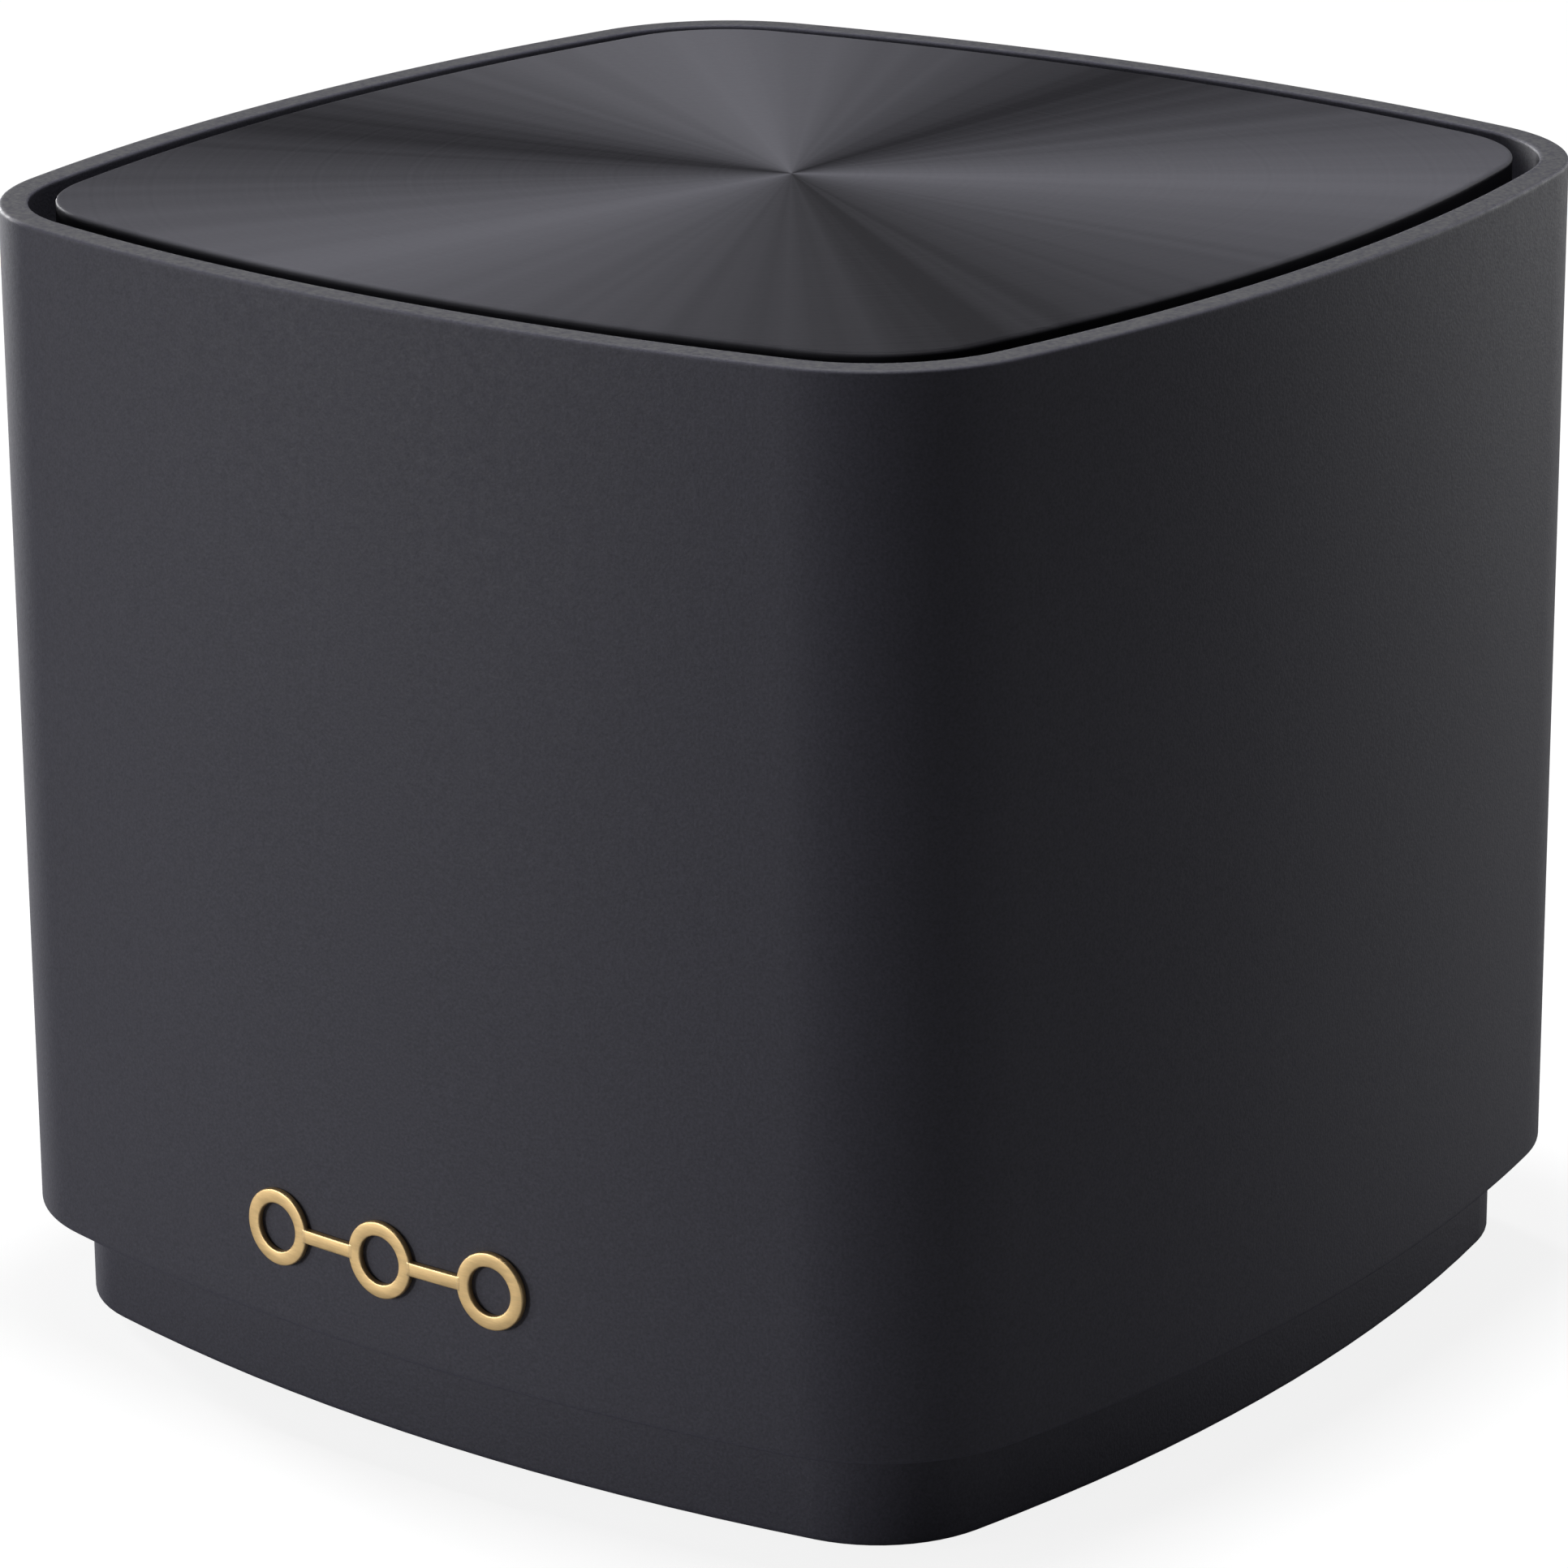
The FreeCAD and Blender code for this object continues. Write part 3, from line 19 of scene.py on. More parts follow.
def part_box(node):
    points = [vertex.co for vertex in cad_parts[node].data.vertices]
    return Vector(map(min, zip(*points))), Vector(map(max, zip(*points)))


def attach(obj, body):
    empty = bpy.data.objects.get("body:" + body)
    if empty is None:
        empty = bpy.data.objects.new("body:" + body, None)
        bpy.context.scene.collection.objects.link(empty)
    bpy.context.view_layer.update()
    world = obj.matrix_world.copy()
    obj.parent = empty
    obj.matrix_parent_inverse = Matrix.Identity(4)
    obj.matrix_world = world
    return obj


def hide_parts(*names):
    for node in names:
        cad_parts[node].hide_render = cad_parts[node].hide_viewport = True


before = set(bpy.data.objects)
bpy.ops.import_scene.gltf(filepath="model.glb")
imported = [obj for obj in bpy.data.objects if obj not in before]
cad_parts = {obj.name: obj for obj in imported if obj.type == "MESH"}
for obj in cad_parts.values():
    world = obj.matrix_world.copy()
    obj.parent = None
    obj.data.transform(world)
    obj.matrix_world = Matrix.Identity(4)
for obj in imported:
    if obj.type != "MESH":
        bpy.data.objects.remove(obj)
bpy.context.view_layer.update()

ROOT = "root"
MM = 0.001
SMALL_HEAD = 1.9 * MM
LOG = logging.getLogger("mesh_wifi_node")

Colour = tuple[float, float, float]
Point = tuple[float, float, float]


def snapped(length: float) -> float:
    """A length from the frame, rounded to a twentieth of a millimetre."""
    return round(length / (0.05 * MM)) * 0.05 * MM


def low(node: str) -> Vector:
    """The lowest corner of a CAD node."""
    return Vector(snapped(c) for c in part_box(node)[0])


def high(node: str) -> Vector:
    """The highest corner of a CAD node."""
    return Vector(snapped(c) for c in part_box(node)[1])


def four_corners(reach: float) -> list[tuple[float, float]]:
    """The corners of a square round the axis."""
    return [(x * reach, y * reach) for x in (1, -1) for y in (1, -1)]


def heading(azimuth: float, elevation: float) -> Vector:
    """The way from the node to something that stands round it.

    Args:
        azimuth: degrees from the front towards +X.
        elevation: degrees above level.

    Returns:
        A unit vector.
    """
    turn, rise = math.radians(azimuth), math.radians(elevation)
    return Vector((math.sin(turn) * math.cos(rise), -math.cos(turn) * math.cos(rise), math.sin(rise)))


# ------------------------------------------------------------------ node trees


class Field:
    """A number in a node tree; arithmetic on it adds Math nodes to the tree."""

    def __init__(self, graph: "Graph", source: Any) -> None:
        """Keep the tree and the socket or plain number that gives the value."""
        self.graph = graph
        self.source = source

    def via(self, operation: str, *others: Any) -> "Field":
        """The result of a Math node.

        Args:
            operation: the Math node's operation.
            others: the second and third inputs, if it has them.

        Returns:
            The node's value.
        """
        inputs = dict(enumerate((self, *others)))
        return Field(self.graph, self.graph.made("ShaderNodeMath", inputs, operation=operation))

    def __add__(self, other: Any) -> "Field":
        """Sum."""
        return self.via("ADD", other)

    def __sub__(self, other: Any) -> "Field":
        """Difference."""
        return self.via("SUBTRACT", other)

    def __mul__(self, other: Any) -> "Field":
        """Product."""
        return self.via("MULTIPLY", other)

    def __truediv__(self, other: Any) -> "Field":
        """Quotient."""
        return self.via("DIVIDE", other)

    def __pow__(self, power: float) -> "Field":
        """Power."""
        return self.via("POWER", power)

    def root(self) -> "Field":
        """Square root."""
        return self.via("SQRT")

    def sine(self) -> "Field":
        """Sine."""
        return self.via("SINE")

    def cosine(self) -> "Field":
        """Cosine."""
        return self.via("COSINE")

    def above(self, level: Any) -> "Field":
        """1 where the value is above a level, else 0."""
        return self.via("GREATER_THAN", level)

    def mapped(self, old: tuple[float, float], new: tuple[float, float]) -> "Field":
        """The value moved from one range to another, and kept inside it.

        Args:
            old: the range that the value comes in.
            new: the range that it leaves in.

        Returns:
            The value in the new range.
        """
        ends = {1: old[0], 2: old[1], 3: new[0], 4: new[1]}
        return Field(self.graph, self.graph.made("ShaderNodeMapRange", {0: self, **ends}))


class Graph:
    """Adds nodes to a shader or geometry tree."""

    def __init__(self, tree: bpy.types.NodeTree) -> None:
        """Keep the tree that the nodes go in."""
        self.tree = tree

    @classmethod
    def fresh(cls, owner: Any) -> "Graph":
        """The emptied tree of a material or world."""
        owner.use_nodes = True
        owner.node_tree.nodes.clear()
        return cls(owner.node_tree)

    def add(self, kind: str, inputs: dict[Any, Any] | None = None, **settings: Any) -> Node:
        """Add a node, set its options, and fill its inputs.

        Args:
            kind: the node's type.
            inputs: by name or number; a Field or a socket is linked, and a plain value is set.
            settings: the node's own options.

        Returns:
            The new node.
        """
        node = self.tree.nodes.new(kind)
        for option, value in settings.items():
            setattr(node, option, value)
        for key, value in (inputs or {}).items():
            self.fill(node.inputs[key], value)
        return node

    def made(self, kind: str, inputs: dict[Any, Any] | None = None, **settings: Any) -> NodeSocket:
        """Add a node as add does, and give its first output."""
        return self.add(kind, inputs, **settings).outputs[0]

    def fill(self, socket: NodeSocket, value: Any) -> None:
        """Link a Field or a socket to an input, or set a plain value on it."""
        if isinstance(value, Field):
            value = value.source
        if isinstance(value, NodeSocket):
            self.tree.links.new(value, socket)
        else:
            socket.default_value = value

    def number(self, source: Any) -> Field:
        """A socket or plain number as a Field."""
        return Field(self, source)

    def vector(self, x: Any = 0.0, y: Any = 0.0, z: Any = 0.0) -> NodeSocket:
        """A vector from three numbers."""
        return self.made("ShaderNodeCombineXYZ", {0: x, 1: y, 2: z})

    def split(self, vector: NodeSocket) -> tuple[Field, Field, Field]:
        """The three numbers of a vector."""
        parts = self.add("ShaderNodeSeparateXYZ", {0: vector}).outputs
        return tuple(self.number(part) for part in parts)

    def noise(self, place: Any, size: float, detail: float = 2.0, **settings: Any) -> Field:
        """Soft noise with features of a given size.

        Args:
            place: the vector that it reads.
            size: the width of a feature, in metres.
            detail: how many finer layers it has.
            settings: the texture node's own options.

        Returns:
            The noise, from 0 to 1.
        """
        inputs = {"Vector": place, "Scale": 1.0 / size, "Detail": detail}
        return self.number(self.made("ShaderNodeTexNoise", inputs, **settings))

    def blend(self, share: Any, first: Any, second: Any) -> NodeSocket:
        """A colour between two colours.

        Args:
            share: how much of the second colour there is.
            first: a colour or a socket.
            second: a colour or a socket.

        Returns:
            The mixed colour.
        """
        node = self.add("ShaderNodeMix", data_type="RGBA")
        self.fill(node.inputs[0], share)
        for slot, colour in ((6, first), (7, second)):
            self.fill(node.inputs[slot], (*colour, 1.0) if isinstance(colour, tuple) else colour)
        return node.outputs[2]


# ------------------------------------------------------------------ finishes


def scaled(colour: Colour, share: float) -> Colour:
    """A colour made lighter or darker."""
    return tuple(min(1.0, channel * share) for channel in colour)


@dataclass(frozen=True)
class Finish:
    """A moulded plastic, and what every other finish starts from.

    Args:
        slot: the record's material slot.
        colour: the colour in linear light.
        roughness: how dull the surface is.
        metallic: 1 for bare or plated metal.
        specular: how strongly a plastic reflects.
        grain: the size of the surface's grain.
        depth: the height of the grain.
        mottle: how much the colour varies over the grain.
        spread: how much the roughness varies over the surface.
        wear_and_highlight: how much of the paler edge colour the edges show; the paler edges are part rubbed
            plastic and part a painted highlight.
        wear_and_highlight_lift: how many times lighter the paler edge colour is.
        edge: the width of the rounding that edges seem to have.
    """

    slot: str
    colour: Colour
    roughness: float = 0.5
    metallic: float = 0.0
    specular: float = 0.5
    grain: float = 0.2 * MM
    depth: float = 0.004 * MM
    mottle: float = 0.06
    spread: float = 0.06
    wear_and_highlight: float = 0.0
    wear_and_highlight_lift: float = 3.0
    edge: float = 0.08 * MM

    def place(self, graph: Graph) -> NodeSocket:
        """The coordinates that the pattern reads."""
        return graph.add("ShaderNodeTexCoord").outputs["Object"]

    def bevelled(self, graph: Graph) -> Node:
        """The normal with the edges rounded off."""
        return graph.add("ShaderNodeBevel", {"Radius": self.edge}, samples=4)

    def edges(self, graph: Graph, bevelled: Node) -> Field:
        """1 along the edges and 0 on the flats."""
        normal = graph.add("ShaderNodeNewGeometry").outputs["Normal"]
        inputs = {0: bevelled.outputs[0], 1: normal}
        turn = graph.add("ShaderNodeVectorMath", inputs, operation="DOT_PRODUCT")
        return graph.number(turn.outputs["Value"]).mapped((0.998, 0.94), (0.0, 1.0))

    def tint(self, graph: Graph, place: NodeSocket) -> Any:
        """The colour all over: grain and broad clouds."""
        fine = graph.noise(place, self.grain, 3.0)
        broad = graph.noise(place, self.grain * 80, 2.0)
        share = (fine * 0.9 + broad * 0.1).mapped((0.3, 0.7), (0.0, 1.0))
        pale, dark = scaled(self.colour, 1 + self.mottle), scaled(self.colour, 1 - self.mottle)
        return graph.blend(share, dark, pale)

    def gloss(self, graph: Graph, place: NodeSocket) -> Field:
        """The roughness all over."""
        ends = (self.roughness - self.spread, self.roughness + self.spread)
        return graph.noise(place, self.grain * 3, 3.0).mapped((0.3, 0.7), ends)

    def relief(self, graph: Graph, place: NodeSocket) -> Field:
        """The height of the surface, from 0 to 1."""
        return graph.noise(place, self.grain, 2.0)

    def trim(self, graph: Graph, shader: Node, place: NodeSocket) -> None:
        """Anything that only one finish has."""

    def material(self) -> Material:
        """Build the material.

        Returns:
            The new material, named after its slot.
        """
        made = bpy.data.materials.new(f"{self.slot}_finish")
        graph = Graph.fresh(made)
        place = self.place(graph)
        bevelled = self.bevelled(graph)
        colour = self.tint(graph, place)
        # Paler edges, part rubbed plastic and part a painted highlight along the edges.
        if self.wear_and_highlight:
            share = self.edges(graph, bevelled) * self.wear_and_highlight
            colour = graph.blend(share, colour, scaled(self.colour, self.wear_and_highlight_lift))
        bump = graph.add(
            "ShaderNodeBump",
            {"Strength": 1.0, "Distance": self.depth, "Height": self.relief(graph, place)},
        )
        graph.fill(bump.inputs["Normal"], bevelled.outputs[0])
        shader = graph.add(
            "ShaderNodeBsdfPrincipled",
            {
                "Base Color": colour,
                "Metallic": self.metallic,
                "Roughness": self.gloss(graph, place),
                "Specular IOR Level": self.specular,
                "Normal": bump.outputs[0],
            },
        )
        self.trim(graph, shader, place)
        graph.add("ShaderNodeOutputMaterial", {"Surface": shader.outputs[0]})
        return made


@dataclass(frozen=True)
class PaintedTopLightFinish(Finish):
    """Moulded plastic with painted light on its upward faces, which are paler and coarser in colour.

    Args:
        painted_top_colour: the colour of the painted light's specks there.
    """

    painted_top_colour: Colour = (0.122, 0.122, 0.125)

    def tint(self, graph: Graph, place: NodeSocket) -> Any:
        """Grain and clouds, with painted light in specks on upward faces such as the rim."""
        normal = graph.add("ShaderNodeNewGeometry").outputs["Normal"]
        # Painted top light: the share grows as a face turns upward.
        facing = graph.split(normal)[2].mapped((0.5, 0.95), (0.0, 1.0))
        specks = graph.noise(place, self.grain * 1.5, 2.0).mapped((0.3, 0.7), (0.2, 1.0))
        return graph.blend(facing * specks, super().tint(graph, place), self.painted_top_colour)


@dataclass(frozen=True)
class SpunFinish(Finish):
    """The lid's satin skin, turned on a lathe: the shader stretches its sheen along the turning lines, and
    its colour carries a painted sheen of light sectors and dark gaps round the middle.

    Args:
        pitch: the spacing of the turning lines.
        stretch: how strongly the sheen follows the lines.
        painted_sheen_fans: the middles of the painted highlight sectors, and of the painted dark gaps after
            them, in degrees from +X.
        painted_sheen_colour: the colour in the middle of a painted highlight sector.
        painted_rays: how much the painted sheen is broken into fine streaks.
        painted_ray_count: how many streaks there are all round.
    """

    pitch: float = 0.12 * MM
    stretch: float = 0.5
    painted_sheen_fans: tuple[tuple[float, float], ...] = ((30.0, 90.0), (136.0, 191.0), (256.0, 322.0))
    painted_sheen_colour: Colour = (0.120, 0.119, 0.136)
    painted_rays: float = 0.11
    painted_ray_count: float = 80.0

    def radius(self, graph: Graph, place: NodeSocket) -> Field:
        """The distance from the lid's axis."""
        across, along, _ = graph.split(place)
        return (across * across + along * along).root()

    def rings(self, graph: Graph, place: NodeSocket, size: float) -> Field:
        """Noise that changes only with the distance from the axis."""
        return self.streaks(graph, self.radius(graph, place), 1.0 / size, 3.0)

    def streaks(self, graph: Graph, along: Field, scale: float, detail: float) -> Field:
        """Noise along one number.

        Args:
            graph: the tree.
            along: the number.
            scale: how many features there are to a unit.
            detail: how many finer layers it has.

        Returns:
            The noise, from 0 to 1.
        """
        inputs = {"W": along, "Scale": scale, "Detail": detail}
        return graph.number(graph.made("ShaderNodeTexNoise", inputs, noise_dimensions="1D"))

    def painted_sheen_burst(self, graph: Graph, place: NodeSocket) -> Field:
        """1 in the middle of each painted highlight sector, 0 in each painted dark gap, with fine painted
        streaks over both.
        """
        across, along, _ = graph.split(place)
        turn = (along.via("ARCTAN2", across) / (2 * math.pi)).via("FRACT")
        stops = sorted((degrees / 360, 1.0 - i) for fan in self.painted_sheen_fans for i, degrees in enumerate(fan))
        last, first = stops[-1], stops[0]
        seam = last[1] + (first[1] - last[1]) * (1 - last[0]) / (1 - last[0] + first[0])
        ramp = graph.add("ShaderNodeValToRGB", {0: turn})
        ends = ramp.color_ramp.elements
        for element, at in ((ends[0], 0.0), (ends[1], 1.0)):
            element.position, element.color = at, (seam, seam, seam, 1.0)
        for at, level in stops:
            ends.new(at).color = (level, level, level, 1.0)
        painted_rays = (self.streaks(graph, turn, self.painted_ray_count, 4.0) - 0.5) * self.painted_rays * 2.0
        return graph.number(ramp.outputs[0]) + painted_rays

    def tint(self, graph: Graph, place: NodeSocket) -> Any:
        """Painted sheen sectors, with faint rings and grain."""
        share = self.rings(graph, place, self.pitch * 3) * 0.6 + graph.noise(place, self.grain) * 0.4
        speck = (share - 0.5) * self.mottle * 4.0
        # The painted sheen: the colour runs from the dark base to the painted highlight colour by angle round
        # the axis.
        return graph.blend(self.painted_sheen_burst(graph, place) + speck, self.colour, self.painted_sheen_colour)

    def relief(self, graph: Graph, place: NodeSocket) -> Field:
        """Turning lines with a little grain."""
        return self.rings(graph, place, self.pitch) * 0.7 + graph.noise(place, self.grain) * 0.3

    def trim(self, graph: Graph, shader: Node, place: NodeSocket) -> None:
        """Stretch the sheen along the turning lines."""
        across, along, _ = graph.split(place)
        shader.inputs["Anisotropic"].default_value = self.stretch
        graph.fill(shader.inputs["Tangent"], graph.vector(along * -1.0, across))


@dataclass(frozen=True)
class MetalFinish(Finish):
    """Bare or plated metal with fine drawing lines along one axis.

    Args:
        draw: how much longer than wide the lines are, along X, Y and Z.
    """

    metallic: float = 1.0
    draw: Point = (1.0, 1.0, 12.0)

    def place(self, graph: Graph) -> NodeSocket:
        """Coordinates drawn out along the lines."""
        coordinates = graph.add("ShaderNodeTexCoord").outputs["Object"]
        shrink = tuple(1.0 / share for share in self.draw)
        return graph.made("ShaderNodeMapping", {"Vector": coordinates, "Scale": shrink})


@dataclass(frozen=True)
class BoardFinish(Finish):
    """Solder mask with copper tracks under it and dots where holes go through.

    Args:
        pitch: the spacing of the tracks.
        copper: the colour over the copper.
        pad: the colour of the plated holes.
    """

    pitch: float = 1.27 * MM
    copper: Colour = (0.02, 0.16, 0.06)
    pad: Colour = (0.55, 0.50, 0.36)

    def tint(self, graph: Graph, place: NodeSocket) -> Any:
        """Tracks in straight runs, and plated holes."""
        cells = graph.add(
            "ShaderNodeTexVoronoi",
            {"Vector": place, "Scale": 0.25 / self.pitch, "Randomness": 1.0},
            distance="MANHATTAN",
        )
        steps = graph.number(cells.outputs["Distance"]) * 9.0
        tracks = steps.via("FRACT").above(0.62)
        holes = graph.add(
            "ShaderNodeTexVoronoi",
            {"Vector": place, "Scale": 0.5 / self.pitch, "Randomness": 0.6},
        )
        dots = graph.number(holes.outputs["Distance"]).mapped((0.12, 0.10), (0.0, 1.0))
        masked = graph.blend(tracks, self.colour, self.copper)
        return graph.blend(dots, masked, self.pad)


@dataclass(frozen=True)
class ClearFinish(Finish):
    """Clear moulded plastic."""

    def trim(self, graph: Graph, shader: Node, place: NodeSocket) -> None:
        """Let light through."""
        shader.inputs["Transmission Weight"].default_value = 0.85
        shader.inputs["IOR"].default_value = 1.49


CHARCOAL: Colour = (0.060, 0.059, 0.078)
FINISHES: tuple[Finish, ...] = (
    # Painted top light on the rim, and paler edges that are part rubbing and part a painted highlight line
    # along the rim and the lower edge.
    PaintedTopLightFinish(
        "charcoal_plastic", CHARCOAL, roughness=0.58, specular=0.3, grain=0.2 * MM,
        depth=0.016 * MM, mottle=0.20, wear_and_highlight=0.4, edge=0.3 * MM,
    ),
    # Its colour carries painted sheen sectors round the middle.
    SpunFinish(
        "lid_plastic", (0.0195, 0.019, 0.0225), roughness=0.55, specular=0.05, grain=0.14 * MM,
        depth=0.003 * MM, mottle=0.05, spread=0.03, wear_and_highlight=0.1,
    ),
    Finish("black_plastic", (0.012, 0.012, 0.013), roughness=0.48, depth=0.006 * MM, wear_and_highlight=0.15),
    Finish(
        "foot_rubber", (0.016, 0.016, 0.016), roughness=0.8, specular=0.3, grain=0.3 * MM,
        depth=0.012 * MM,
    ),
    Finish("label_film", (0.33, 0.33, 0.35), roughness=0.42, grain=0.4 * MM, mottle=0.03),
    MetalFinish(
        "badge_gold", (0.95, 0.68, 0.34), roughness=0.45, grain=0.10 * MM, depth=0.003 * MM,
        mottle=0.05, wear_and_highlight=0.2, draw=(8.0, 1.0, 1.0),
    ),
    BoardFinish("board_green", (0.010, 0.085, 0.035), roughness=0.32, grain=0.3 * MM),
    MetalFinish(
        "aluminium", (0.62, 0.63, 0.65), roughness=0.38, depth=0.004 * MM, draw=(1.0, 14.0, 1.0),
    ),
    MetalFinish("tinned_steel", (0.60, 0.60, 0.59), roughness=0.30, mottle=0.08),
    MetalFinish("gold_contacts", (0.80, 0.56, 0.22), roughness=0.22),
    Finish("chip_epoxy", (0.014, 0.014, 0.015), roughness=0.55, grain=0.12 * MM, depth=0.008 * MM),
    Finish("pad_silicone", (0.26, 0.32, 0.40), roughness=0.7, grain=0.5 * MM, mottle=0.1),
    MetalFinish("capacitor_can", (0.40, 0.41, 0.46), roughness=0.30),
    Finish("cable_jacket", (0.02, 0.02, 0.022), roughness=0.38),
    MetalFinish("brass_plug", (0.72, 0.52, 0.22), roughness=0.26),
    Finish("plunger_plastic", (0.50, 0.46, 0.38), roughness=0.5),
    ClearFinish("clear_plastic", (0.80, 0.84, 0.88), roughness=0.15, mottle=0.02),
    MetalFinish("screw_steel", (0.20, 0.20, 0.21), roughness=0.36, mottle=0.12),
)


class Palette:
    """Every finish as a material, made once and found by its slot."""

    def __init__(self, finishes: Iterable[Finish]) -> None:
        """Build the materials."""
        self.made = {finish.slot: finish.material() for finish in finishes}

    def __getitem__(self, slot: str) -> Material:
        """The material for a slot."""
        return self.made[slot]

    def dress(self, obj: Object) -> None:
        """Give a CAD node the finish that its own slot names."""
        for slot in obj.material_slots:
            slot.material = self.made[slot.material.name.split(".")[0]]


# ------------------------------------------------------------------ mesh work


def mesh_object(name: str, points: Sequence[Sequence[float]], faces: Sequence[Sequence[int]]) -> Any:
    """A new object from points and faces.

    Args:
        name: the piece's name.
        points: the corners, in place.
        faces: corner numbers, each face seen anticlockwise from outside.

    Returns:
        The object, linked to the scene.
    """
    mesh = bpy.data.meshes.new(name)
    mesh.from_pydata([tuple(p) for p in points], [], [tuple(f) for f in faces])
    mesh.update()
    obj = bpy.data.objects.new(name, mesh)
    bpy.context.scene.collection.objects.link(obj)
    return obj


def settle(obj: Object) -> Object:
    """Turn an object's modifiers into its plain mesh, and remove them.

    Args:
        obj: an object with live modifiers.

    Returns:
        The same object.
    """
    graph = bpy.context.evaluated_depsgraph_get()
    graph.update()
    mesh = bpy.data.meshes.new_from_object(obj.evaluated_get(graph), depsgraph=graph)
    old = obj.data
    obj.modifiers.clear()
    obj.data = mesh
    if old.users == 0:
        bpy.data.meshes.remove(old)
    return obj


def smooth(obj: Object, sharpest: float = 32.0) -> Object:
    """Shade an object smooth, but for its sharp edges.

    Args:
        obj: the object.
        sharpest: edges that turn by more than this many degrees stay sharp.

    Returns:
        The same object.
    """
    obj.data.polygons.foreach_set("use_smooth", [True] * len(obj.data.polygons))
    obj.data.set_sharp_from_angle(angle=math.radians(sharpest))
    return obj


def faced_outward(obj: Object) -> Object:
    """Merge doubled corners and turn every face outward."""
    work = bmesh.new()
    work.from_mesh(obj.data)
    bmesh.ops.remove_doubles(work, verts=work.verts, dist=1e-7)
    bmesh.ops.recalc_face_normals(work, faces=work.faces)
    work.to_mesh(obj.data)
    work.free()
    return obj


def seated(obj: Object, slot: str, *nodes: str, body: str = ROOT) -> Object:
    """Ride a finished piece on its body, in place of CAD nodes.

    Args:
        obj: the piece.
        slot: the record's material slot; not used.
        nodes: the CAD nodes that it stands for.
        body: the CAD body that it moves with.

    Returns:
        The same piece.
    """
    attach(obj, body)
    if nodes:
        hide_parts(*nodes)
    LOG.info("%s: %d faces", obj.name, len(obj.data.polygons))
    return obj


class NodeForm:
    """A Geometry Nodes tree with named inputs, built in code."""

    def __init__(self, name: str, *numbers: str) -> None:
        """Make the tree with its sockets.

        Args:
            name: the tree's name.
            numbers: the names of its inputs that are numbers.
        """
        self.tree = bpy.data.node_groups.new(name, "GeometryNodeTree")
        self.graph = Graph(self.tree)
        sockets = self.tree.interface
        sockets.new_socket("Geometry", in_out="INPUT", socket_type="NodeSocketGeometry")
        for title in numbers:
            sockets.new_socket(title, in_out="INPUT", socket_type="NodeSocketFloat")
        sockets.new_socket("Finish", in_out="INPUT", socket_type="NodeSocketMaterial")
        sockets.new_socket("Geometry", in_out="OUTPUT", socket_type="NodeSocketGeometry")
        self.source = self.graph.add("NodeGroupInput")

    def given(self, title: str) -> Field:
        """A named input."""
        return self.graph.number(self.source.outputs[title])

    def position(self) -> tuple[Field, Field, Field]:
        """The three coordinates of each point."""
        return self.graph.split(self.graph.made("GeometryNodeInputPosition"))

    def moved(self, geometry: Any, place: NodeSocket) -> NodeSocket:
        """Geometry with every point put in its own place."""
        inputs = {"Geometry": geometry, "Position": place}
        return self.graph.made("GeometryNodeSetPosition", inputs)

    def lifted(self, geometry: Any, height: Any) -> NodeSocket:
        """Geometry shifted up as a whole."""
        inputs = {"Geometry": geometry, "Translation": self.graph.vector(z=height)}
        return self.graph.made("GeometryNodeTransform", inputs)

    def placed(self, points: Any, piece: Any, **inputs: Any) -> NodeSocket:
        """A piece on every point.

        Args:
            points: the points.
            piece: the geometry to put there.
            inputs: the node's Rotation or Scale.

        Returns:
            The instances.
        """
        filled = {"Points": points, "Instance": piece, **inputs}
        return self.graph.made("GeometryNodeInstanceOnPoints", filled)

    def circle(self, radius: Field, resolution: int) -> NodeSocket:
        """A circle round the origin, as a curve."""
        inputs = {"Radius": radius, "Resolution": resolution}
        return self.graph.made("GeometryNodeCurvePrimitiveCircle", inputs)

    def oblong(self, width: Field, height: Field) -> NodeSocket:
        """A rectangle round the origin, as a curve."""
        inputs = {"Width": width, "Height": height}
        return self.graph.made("GeometryNodeCurvePrimitiveQuadrilateral", inputs)

    def joined(self, *parts: NodeSocket) -> NodeSocket:
        """Several geometries as one."""
        node = self.graph.add("GeometryNodeJoinGeometry")
        for part in parts:
            self.tree.links.new(part, node.inputs[0])
        return node.outputs[0]

    def close(self, geometry: NodeSocket) -> None:
        """End the tree: realize instances, set the material, and put it out."""
        real = self.graph.made("GeometryNodeRealizeInstances", {0: geometry})
        inputs = {0: real, "Material": self.given("Finish")}
        self.graph.add("NodeGroupOutput", {0: self.graph.made("GeometryNodeSetMaterial", inputs)})

    def grow(self, obj: Object, **values: Any) -> Object:
        """Run the tree on an object, and keep the result as a plain mesh.

        Args:
            obj: the object that the tree starts from.
            values: the inputs, with underscores for spaces.

        Returns:
            The same object.
        """
        modifier = obj.modifiers.new("form", "NODES")
        modifier.node_group = self.tree
        titles = {title.replace("_", " "): value for title, value in values.items()}
        for item in self.tree.interface.items_tree:
            if item.in_out == "INPUT" and item.name in titles:
                modifier[item.identifier] = titles[item.name]
        settle(obj)
        slots = obj.data.materials
        for index in reversed(range(len(slots))):
            if slots[index] is None:
                slots.pop(index=index)
        return obj


# ------------------------------------------------------------------ the tower's outline


@dataclass(frozen=True)
class Outline:
    """The tower seen from above: four bulged sides and four tangent corners.

    Args:
        half: from the axis to the middle of a side.
        side: the radius of a side.
        corner: the radius of a corner.
    """

    half: float = field(default_factory=lambda: high("outer_sleeve").x)
    side: float = 155.0 * MM
    corner: float = 13.4 * MM


@dataclass(frozen=True)
class Ring:
    """One ring of a shell.

    Args:
        inset: how far the ring is drawn in from the outline.
        level: its height.
        share: its size as a share of that outline, for rings that close in on the axis.
    """

    inset: float
    level: float
    share: float = 1.0


